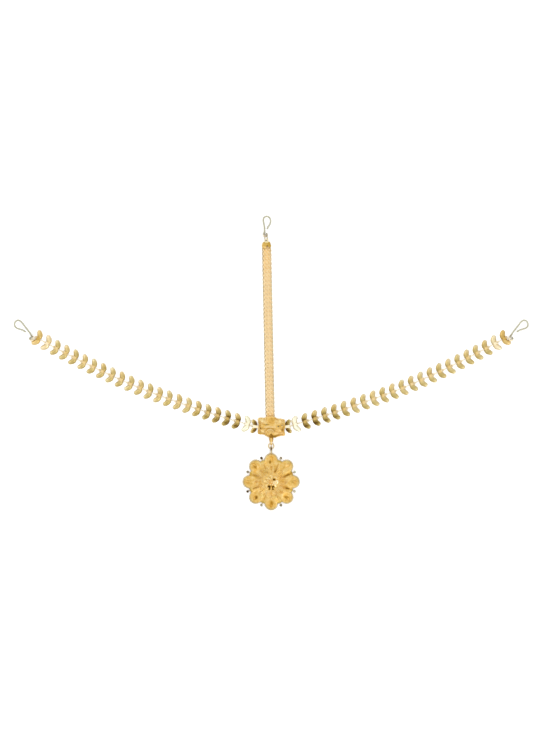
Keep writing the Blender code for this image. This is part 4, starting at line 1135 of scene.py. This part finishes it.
def plaque_cover(relief, top):
    """Cover over the band's end with a curled wire at each side, and the bar below it."""
    edge = PLAQUE_HEIGHT / 2
    cover = in_mm(((-2.5, 3.5), (2.7, 3.4), (2.9, 5.5)))
    cover += [(2.6 * MM, edge + COVER_LIP), (-2.5 * MM, edge + COVER_LIP), (-2.7 * MM, 5.5 * MM)]
    plate(relief, smooth_curve(cover, 4, closed=True), top - 0.2 * MM, top + 0.5 * MM,
          Matrix.Translation((BAND_FOOT_X + 0.3 * MM, 0, 0)), tone=0.44, warm=0.6, bulge=0.25 * MM, rings=6)
    for side in (-1, 1):
        leg = smooth_curve([(BAND_FOOT_X + side * 3.1 * MM, edge * 0.9, top),
                            (BAND_FOOT_X + side * 3.3 * MM, 4.6 * MM, top + 0.2 * MM),
                            (BAND_FOOT_X + side * 4.6 * MM, 3.0 * MM, top + 0.2 * MM),
                            (BAND_FOOT_X + side * 6.6 * MM, 2.9 * MM, top)], 6)
        tube(relief, leg, 0.32 * MM, 8, tone=0.38)
    bar = in_mm(((-5.3, 0.2), (-3.0, -0.2), (1.0, -0.2), (3.3, 0.2), (1.0, 0.75), (-3.0, 0.8)))
    plate(relief, smooth_curve(bar, 4, closed=True), top - 0.2 * MM, top + 0.4 * MM, Matrix(), tone=0.2,
          bulge=0.2 * MM, rings=4)


def plaque_fan(relief, top):
    """Lotus fan: arches with short rays between the inner ones."""
    fan = (-0.8 * MM, -4.0 * MM)
    for radius, tone in ((1.7 * MM, 0.36), (2.6 * MM, 0.22), (3.5 * MM, 0.62), (4.5 * MM, 0.40)):
        tube(relief, arc(fan, radius, 8, 172, 22, top + 0.1 * MM), 0.36 * MM, 8, tone=tone)
    for step in range(9):
        turn = math.radians(20 + 140 * step / 8)
        ray = np.array((math.cos(turn), math.sin(turn)))
        near = np.array(fan) + 0.6 * MM * ray
        far = np.array(fan) + 2.3 * MM * ray
        tube(relief, [(*near, top + 0.1 * MM), (*far, top + 0.25 * MM)], 0.26 * MM, 7, tone=0.38)


def plaque_bosses(relief, top):
    """Low bosses on the wings, each in a wire ring with granules round it, and curls between them."""
    for boss in PLAQUE_BOSSES:
        spot = np.array(boss) * PLAQUE_HALF
        bead(relief, (*spot, top - 0.1 * MM), 1.2 * MM, tone=0.40, sides=18, rings=10, squash=0.4)
        tube(relief, arc(spot, 1.6 * MM, 0, 345, 22, top), 0.22 * MM, 7, tone=0.5)
        for granule in circle(2.1 * MM, 9, top, spot):
            bead(relief, granule, 0.26 * MM, tone=0.34)
    for side in (-1, 1):
        curl = arc((side * 4.4 * MM, -2.6 * MM), 1.0 * MM, 90, 90 + side * 290, 18, top + 0.1 * MM)
        tube(relief, curl, 0.27 * MM, 7, tone=0.4)
        for step in range(4):
            bead(relief, (side * (3.6 + 1.1 * step) * MM, (-5.2 + 0.35 * step) * MM, top), 0.38 * MM,
                 tone=0.4)


def plaque_drop(material, top):
    """Teardrop stem from the lotus down to the bail that holds the jump ring."""
    drop = Builder(PLAQUE_SHADING_PATCHES)
    count = 18
    line = np.linspace(0, 1, count)
    stem_top, stem_end = -4.3 * MM, -10.3 * MM
    spine = np.stack((np.zeros(count), stem_top + (stem_end - stem_top) * line,
                      top - 0.2 * MM - 0.5 * MM * line), axis=1)
    widths = np.interp(line, (0, 0.1, 0.35, 0.6, 0.9, 1.0), (0.3, 0.9, 1.5, 1.4, 1.2, 0.9)) * MM
    tube(drop, spine, widths, 16, tone=0.90 - 0.38 * line, warm=0.85 - 0.35 * line, flat=0.6)
    bail(drop, -PLAQUE_HEIGHT / 2 * 0.9, jump_ring_middle().y + JUMP_RING_RADIUS - bail_reach(), 0.28, 0.55)
    drop.piece("plaque_drop", material, "cast_gold")


def plaque(material):
    """Cast plaque: rimmed winged plate, cover over the band, lotus fan, bosses, curls and granules."""
    outline = plaque_base(material)
    top = PLAQUE_THICK + RELIEF_LIFT
    relief = Builder(PLAQUE_SHADING_PATCHES)
    plaque_edge(relief, outline, top)
    plaque_cover(relief, top)
    plaque_fan(relief, top)
    plaque_bosses(relief, top)
    relief.piece("plaque_relief", material, "cast_gold")
    plaque_drop(material, top)


def soldered_pairs(material):
    """First leaf pair of each side chain, soldered to the plaque's side."""
    pairs = Builder(SOLDERED_REFLECTION_PATCHES)
    for side in (-1, 1):
        leaf_links(pairs, None, side, 0, 0)
    pairs.piece("soldered_leaves", material, "leaf_gold")


# Pendant

def flower_edge(turn):
    """Radius of the outline at an angle from the nearest petal's middle, for arrays of angles."""
    inside = PETAL_RADIUS ** 2 - (PETAL_CENTRE * np.sin(turn)) ** 2
    bulge = PETAL_CENTRE * np.cos(turn) + np.sqrt(np.clip(inside, 0, None))
    return np.where(inside > 0, np.maximum(bulge, FIELD_RADIUS), FIELD_RADIUS)


def petal_angle(angle):
    """Angle from the nearest petal's middle."""
    return (angle - math.pi / 2 + SECTOR / 2) % SECTOR - SECTOR / 2


def dome_height(share):
    """Height of the low dome at a share of the way from the flower's middle to its edge."""
    return FLOWER_EDGE + FLOWER_DOME * (1 - np.clip(share, 0, 1) ** 2) ** 0.7


def flower_surface(reach, angle):
    """Height and tone of the pendant's face at a radius and an angle."""
    turn = petal_angle(angle)
    share = reach / flower_edge(turn)
    height = dome_height(share)
    across = reach * np.sin(turn)
    along = reach * np.cos(turn)
    valley = np.exp(-((np.abs(turn) - math.pi / PETALS) * reach / VALLEY_WIDTH) ** 2)
    valley *= np.clip((reach - 8.5 * MM) / (3 * MM), 0, 1) * np.clip((15.6 * MM - reach) / (2 * MM), 0, 1)
    height = height - (0.15 + 0.25 * np.cos(angle) ** 2) * MM * valley
    bowl = 1 - ((along - PETAL_CENTRE) ** 2 + across ** 2) / (PETAL_RADIUS * 0.8) ** 2
    bowl = np.clip(bowl, 0, 1)
    height = height - DISH_DEPTH * bowl
    ridges = np.sin(across / RIDGE_WIDTH * math.pi) * np.clip((reach - 5 * MM) / (2 * MM), 0, 1)
    ridges *= np.clip((12.0 * MM - along) / (1.5 * MM), 0, 1)
    height = height + RIDGE_HEIGHT * ridges
    # Darker in the valleys, the dishes and the troughs between ridges; the darker band at the rim is
    # painted shade
    tone = 0.40 + 0.10 * valley + 0.07 * bowl + 0.08 * np.clip(-ridges, 0, 1)
    tone = tone + 0.18 * np.clip((share - FLOWER_RIM_SHARE) / 0.06, 0, 1)
    return height, tone


def flower_dish(middle, material):
    """Domed face of the flower, its wall, the flat border behind and the shallow hollow inside it."""
    around, rows = 400, 60
    angles = TAU * np.arange(around) / around
    shares = np.linspace(0.06, 1.0, rows)
    edge = flower_edge(petal_angle(angles))
    reach = shares[:, None] * edge[None, :]
    height, tone = flower_surface(reach, np.repeat(angles[None, :], rows, axis=0))
    # Painted shade: the rim turns olive
    warm = NEUTRAL - 0.45 * np.clip((shares - FLOWER_RIM_SHARE) / 0.06, 0, 1)
    face = polar(reach, angles, height).reshape(-1, 3)
    hollow = FIELD_RADIUS - FLOWER_BORDER
    verts = np.concatenate((face, polar(edge * 0.985, angles), circle(hollow, around),
                            circle(hollow * 0.8, around, FLOWER_EDGE)))
    faces = grid_faces(rows + 3, around, close_columns=True)
    faces.append(tuple(reversed(range(around))))
    faces.append(tuple(range((rows + 2) * around, (rows + 3) * around)))
    under = np.full(3 * around, 0.6)
    builder = Builder(PENDANT_SHADING_PATCHES, middle)
    builder.add(moved(verts, Matrix.Translation(middle)), faces, np.concatenate((tone.reshape(-1), under)),
                np.concatenate((np.repeat(warm, around), under)))
    builder.piece("flower_dish", material, "cast_gold", "pendant_flower")


def pendant_flower(material, ball_material):
    """Domed flower: grooved field, dished petals with wire rims, drop beads, granules and notch balls."""
    middle = flower_middle()
    flower_dish(middle, material)
    trim = Builder(PENDANT_SHADING_PATCHES, middle)
    balls = Builder(BAIL_REFLECTION_PATCHES, middle)
    for petal in range(PETALS):
        turned = Matrix.Translation(middle) @ Matrix.Rotation(petal * SECTOR, 4, "Z")
        petal_trim(trim, balls, turned)
        drop_bead(trim, turned)
        field_trim(trim, turned)
        notch_ball(balls, turned @ Matrix.Rotation(SECTOR / 2, 4, "Z"), *BALL_REFLECTION_TONES[petal])
    bail(balls, pendant_bail_top(), pendant_bail_top() - PENDANT_BAIL_LENGTH, 0.35, 0.9)
    trim.piece("flower_trim", material, "cast_gold")
    balls.piece("notch_balls", ball_material, "wire_gold")


def notch_ball(builder, place, tone, warm):
    """Small ball on a short stem between two petals."""
    foot = FIELD_RADIUS - BALL_RADIUS
    tube(builder, moved([(0, foot, BALL_RADIUS), (0, BALL_REACH, BALL_RADIUS)], place), 0.4 * MM, 8,
         tone=0.5, warm=0.5)
    bead(builder, place @ Vector((0, BALL_REACH, BALL_RADIUS)), BALL_RADIUS, tone, warm, sides=16, rings=10)


def petal_trim(builder, rims, place):
    """Wire rims of one petal with a row of granules inside them."""
    middle = (0, PETAL_CENTRE)
    outer = arc(middle, PETAL_RADIUS - RIM_WIRE, -20, 200, 34, FLOWER_EDGE + 0.05 * MM)
    tube(rims, moved(outer, place), RIM_WIRE, 8, tone=0.47, warm=0.75)
    inside = arc(middle, PETAL_RADIUS - 1.25 * MM, -40, 220, 34, FLOWER_EDGE + 0.25 * MM)
    tube(builder, moved(inside, place), INNER_RIM_WIRE, 7, tone=0.36, warm=0.35)
    for spot in arc(middle, PETAL_RADIUS - 1.85 * MM, -35, 215, 11, FLOWER_EDGE + 0.3 * MM):
        bead(builder, moved_point(*spot, place), GRANULE, tone=0.34, sides=8, rings=5)


def drop_bead(builder, place):
    """Raised teardrop on a petal, its point towards the middle of the flower."""
    rings, sides = 8, 20
    rows = []
    tones = []
    for ring in range(rings):
        share = math.cos(math.pi / 2 * ring / rings)
        lift = math.sin(math.pi / 2 * ring / rings)
        for side in range(sides):
            turn = TAU * side / sides
            taper = 1 - 0.45 * (0.5 - 0.5 * math.sin(turn))
            rows.append((DROP_HALF_WIDTH * share * math.cos(turn) * taper,
                         PETAL_CENTRE + DROP_AHEAD + DROP_HALF_LENGTH * share * math.sin(turn),
                         FLOWER_EDGE + DROP_LIFT + DROP_RISE * lift))
            tones.append(0.44 + 0.16 * max(0.0, -math.sin(turn)) * share)
    rows.append((0, PETAL_CENTRE + DROP_AHEAD, FLOWER_EDGE + DROP_LIFT + DROP_RISE))
    tones.append(0.36)
    faces = grid_faces(rings, sides, close_columns=True)
    last = (rings - 1) * sides
    faces += fan_faces(last, sides, rings * sides)
    faces.append(tuple(reversed(range(sides))))
    builder.add(moved(rows, place), faces, tones, 0.75)


def on_flower(x, y, lift):
    """Point on the flower's face at a place in its own plane."""
    reach, angle = math.hypot(x, y), math.atan2(y, x)
    height, _ = flower_surface(np.array(reach), np.array(angle))
    return (x, y, float(height) + lift)


def field_trim(builder, place):
    """Wire lancet inside each petal's sector, with granules in and beside it."""
    lancet = ((0.3, 5.4), (1.5, 7.0), (1.9, 8.8), (1.1, 10.4), (0.0, 11.6))
    outer = ((2.2, 6.0), (3.0, 8.2), (3.4, 10.2))
    for side in (-1, 1):
        for points, wire, tone in ((lancet, 0.24 * MM, 0.34), (outer, 0.26 * MM, 0.36)):
            curve = smooth_curve(in_mm([(x * side, y) for x, y in points]), 5)
            line = [on_flower(x, y, 0.1 * MM) for x, y in curve]
            tube(builder, moved(line, place), wire, 7, tone=tone)
        for step in range(5):
            spot = on_flower((3.9 + 0.28 * step) * MM * side, (9.4 + 0.75 * step) * MM, 0.08 * MM)
            bead(builder, moved_point(*spot, place), GRANULE, tone=0.38, sides=8, rings=5)
    for step in range(6):
        spot = on_flower(0, (6.3 + 0.82 * step) * MM, 0.1 * MM)
        bead(builder, moved_point(*spot, place), (0.26 + 0.03 * step) * MM, tone=0.34, sides=8, rings=5)


def pendant_rosette(material):
    """Polished rosette: two layers of cupped petals round a bright button, with painted shade in the gaps
    between.
    """
    middle = flower_middle()
    place = Matrix.Translation((middle.x, middle.y, dome_height(ROSETTE_SEAT_SHARE) + SEAT_GAP))
    builder = Builder(ROSETTE_SHADING_PATCHES, middle)
    around, rows = 192, 22
    angles = TAU * np.arange(around) / around
    for size, low, rise, turn in ROSETTE_LAYERS:
        lobe = np.abs(np.cos(PETALS * (angles - math.pi / 2 - turn) / 2))
        edge = ROSETTE_RADIUS * size * (0.78 + 0.22 * lobe ** 0.6)
        shares = np.linspace(0.1, 1.0, rows)
        reach = shares[:, None] * edge[None, :]
        cup = np.sin(shares * math.pi * 0.9)[:, None] * (0.4 + 0.6 * lobe[None, :] ** 0.7)
        height = (low + rise * cup) * MM + 0.2 * MM
        # Painted shade: darker between the lobes, paler on them
        tone = np.repeat(0.52 - 0.24 * lobe[None, :] ** 0.5, rows, axis=0)
        face = polar(reach, angles, height).reshape(-1, 3)
        faces = grid_faces(rows + 1, around, close_columns=True)
        faces.append(tuple(reversed(range(around))))
        faces.append(tuple(range(rows * around, (rows + 1) * around)))
        builder.add(moved(np.concatenate((face, polar(edge, angles, low * MM))), place), faces,
                    np.concatenate((tone.reshape(-1), np.full(around, 0.6))))
    button = moved_point(0, 0, ROSETTE_HEIGHT - ROSETTE_BUTTON, place)
    bead(builder, button, ROSETTE_BUTTON, tone=0.1, sides=24, rings=14)
    builder.piece("polished_rosette", material, "cast_gold", "pendant_rosette")


# Materials

def colour_ramp(tree, stops):
    ramp = tree.nodes.new("ShaderNodeValToRGB")
    while len(ramp.color_ramp.elements) < len(stops):
        ramp.color_ramp.elements.new(0.5)
    for element, (position, colour) in zip(ramp.color_ramp.elements, stops):
        element.position = position
        element.color = (*colour, 1.0)
    return ramp


def noise(tree, size, detail):
    """Noise in the object's own place, with grains of a size."""
    place = tree.nodes.new("ShaderNodeTexCoord")
    texture = tree.nodes.new("ShaderNodeTexNoise")
    texture.inputs["Scale"].default_value = 1.0 / size
    texture.inputs["Detail"].default_value = detail
    tree.links.new(place.outputs["Object"], texture.inputs["Vector"])
    return texture


def mesh_value(tree, name):
    """A value that the mesh carries at its points."""
    carried = tree.nodes.new("ShaderNodeAttribute")
    carried.attribute_name = name
    return carried.outputs["Fac"]


def shifted(tree, source, texture, amount):
    """A value moved up and down by noise."""
    centred = tree.nodes.new("ShaderNodeMath")
    centred.operation = "SUBTRACT"
    centred.inputs[1].default_value = 0.5
    tree.links.new(texture.outputs["Fac"], centred.inputs[0])
    shift = tree.nodes.new("ShaderNodeMath")
    shift.operation = "MULTIPLY_ADD"
    shift.inputs[1].default_value = amount
    tree.links.new(centred.outputs[0], shift.inputs[0])
    tree.links.new(source, shift.inputs[2])
    return shift.outputs[0]


def gold_material(name, stops, look):
    """Plated gold: tone and warmth follow the mesh, with fine grain in colour, gloss and relief."""
    material = bpy.data.materials.new(name)
    material.use_nodes = True
    tree = material.node_tree
    shader = tree.nodes["Principled BSDF"]
    shader.inputs["Metallic"].default_value = 1.0
    grain = noise(tree, look.grain_size, 3.0)
    mottle = noise(tree, look.mottle_size, 2.0)

    toned = shifted(tree, mesh_value(tree, "tone"), grain, look.grain)
    toned = shifted(tree, toned, mottle, look.mottle)
    ramp = colour_ramp(tree, stops)
    tree.links.new(toned, ramp.inputs[0])

    warmed = shifted(tree, mesh_value(tree, "warm"), mottle, look.mottle * WARM_MOTTLE)
    tint = colour_ramp(tree, WARM_STOPS)
    tree.links.new(warmed, tint.inputs[0])
    mix = tree.nodes.new("ShaderNodeMix")
    mix.data_type = "RGBA"
    mix.blend_type = "MULTIPLY"
    mix.inputs["Factor"].default_value = 1.0
    tree.links.new(ramp.outputs[0], mix.inputs["A"])
    tree.links.new(tint.outputs[0], mix.inputs["B"])
    tree.links.new(mix.outputs["Result"], shader.inputs["Base Color"])

    gloss = tree.nodes.new("ShaderNodeMapRange")
    gloss.inputs["To Min"].default_value = look.roughness * 0.75
    gloss.inputs["To Max"].default_value = look.roughness * 1.35
    tree.links.new(grain.outputs["Fac"], gloss.inputs["Value"])
    tree.links.new(gloss.outputs[0], shader.inputs["Roughness"])

    bump = tree.nodes.new("ShaderNodeBump")
    bump.inputs["Distance"].default_value = look.bump
    bump.inputs["Strength"].default_value = 0.6
    tree.links.new(grain.outputs["Fac"], bump.inputs["Height"])
    tree.links.new(bump.outputs[0], shader.inputs["Normal"])
    return material


# Stage, light and camera

def floor():
    bpy.ops.mesh.primitive_plane_add(size=FLOOR_SIZE, location=(0, 0, -FLOOR_DROP))
    item = bpy.context.object
    item.name = "floor"
    material = bpy.data.materials.new("floor_white")
    material.use_nodes = True
    shader = material.node_tree.nodes["Principled BSDF"]
    shader.inputs["Base Color"].default_value = (FLOOR_WHITE, FLOOR_WHITE, FLOOR_WHITE, 1)
    shader.inputs["Roughness"].default_value = 0.9
    shader.inputs["Specular IOR Level"].default_value = 0.0
    item.data.materials.append(material)


def studio_world():
    """Soft tent of light: bright overhead, dimmer towards the horizon, plain white to the camera."""
    world = bpy.data.worlds.new("studio")
    bpy.context.scene.world = world
    world.use_nodes = True
    tree = world.node_tree
    tree.nodes.clear()
    place = tree.nodes.new("ShaderNodeTexCoord")
    split = tree.nodes.new("ShaderNodeSeparateXYZ")
    tree.links.new(place.outputs["Generated"], split.inputs[0])
    ramp = colour_ramp(tree, tuple((position, (level, level, level)) for position, level in TENT_STOPS))
    tree.links.new(split.outputs["Z"], ramp.inputs[0])
    tent = tree.nodes.new("ShaderNodeBackground")
    tree.links.new(ramp.outputs[0], tent.inputs["Color"])
    white = tree.nodes.new("ShaderNodeBackground")
    white.inputs["Color"].default_value = (1, 1, 1, 1)
    rays = tree.nodes.new("ShaderNodeLightPath")
    mix = tree.nodes.new("ShaderNodeMixShader")
    tree.links.new(rays.outputs["Is Camera Ray"], mix.inputs[0])
    tree.links.new(tent.outputs[0], mix.inputs[1])
    tree.links.new(white.outputs[0], mix.inputs[2])
    output = tree.nodes.new("ShaderNodeOutputWorld")
    tree.links.new(mix.outputs[0], output.inputs[0])


def area_light(name, location, size, power, glossy):
    """Square light that faces the middle of the jewel."""
    data = bpy.data.lights.new(name, "AREA")
    data.size = size
    data.energy = power
    item = bpy.data.objects.new(name, data)
    bpy.context.scene.collection.objects.link(item)
    item.location = location
    item.rotation_euler = (Vector(LIGHT_TARGET) - Vector(location)).to_track_quat("-Z", "Y").to_euler()
    item.visible_glossy = glossy


def camera():
    """Straight above, framed as the photograph is."""
    x = (PHOTO_WIDTH_PX / 2 - PLAQUE_PX[0]) * PIXEL
    y = (PLAQUE_PX[1] - PHOTO_HEIGHT_PX / 2) * PIXEL
    height = PHOTO_HEIGHT_PX * PIXEL * LENS / SENSOR
    data = bpy.data.cameras.new("camera")
    data.lens = LENS
    data.sensor_width = SENSOR
    data.clip_start = CLIP_START
    item = bpy.data.objects.new("camera", data)
    bpy.context.scene.collection.objects.link(item)
    item.location = (x, y, height)
    bpy.context.scene.camera = item


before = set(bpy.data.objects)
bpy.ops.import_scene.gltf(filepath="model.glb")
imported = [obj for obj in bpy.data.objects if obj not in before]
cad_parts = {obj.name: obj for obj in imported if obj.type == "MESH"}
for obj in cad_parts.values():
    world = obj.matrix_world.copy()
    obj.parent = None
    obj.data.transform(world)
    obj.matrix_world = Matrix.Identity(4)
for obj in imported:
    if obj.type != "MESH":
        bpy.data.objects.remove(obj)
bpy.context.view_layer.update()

camera()
floor()
studio_world()
for light in LIGHTS:
    area_light(*light)
bpy.context.scene.view_settings.view_transform = "Standard"

leaf_gold = gold_material("leaf_gold_plate", LEAF_STOPS, LEAF_LOOK)
wire_gold = gold_material("wire_gold_plate", WIRE_STOPS, WIRE_LOOK)
band_gold = gold_material("band_gold_plate", BAND_STOPS, BAND_LOOK)
cast_gold = gold_material("cast_gold_plate", CAST_STOPS, CAST_LOOK)

side_chains(leaf_gold, wire_gold)
side_hooks(wire_gold)
woven_band(band_gold)
band_cap(cast_gold)
upper_ring_and_hook(wire_gold)
pendant_ring(wire_gold)
plaque(cast_gold)
soldered_pairs(leaf_gold)
pendant_flower(cast_gold, wire_gold)
pendant_rosette(cast_gold)
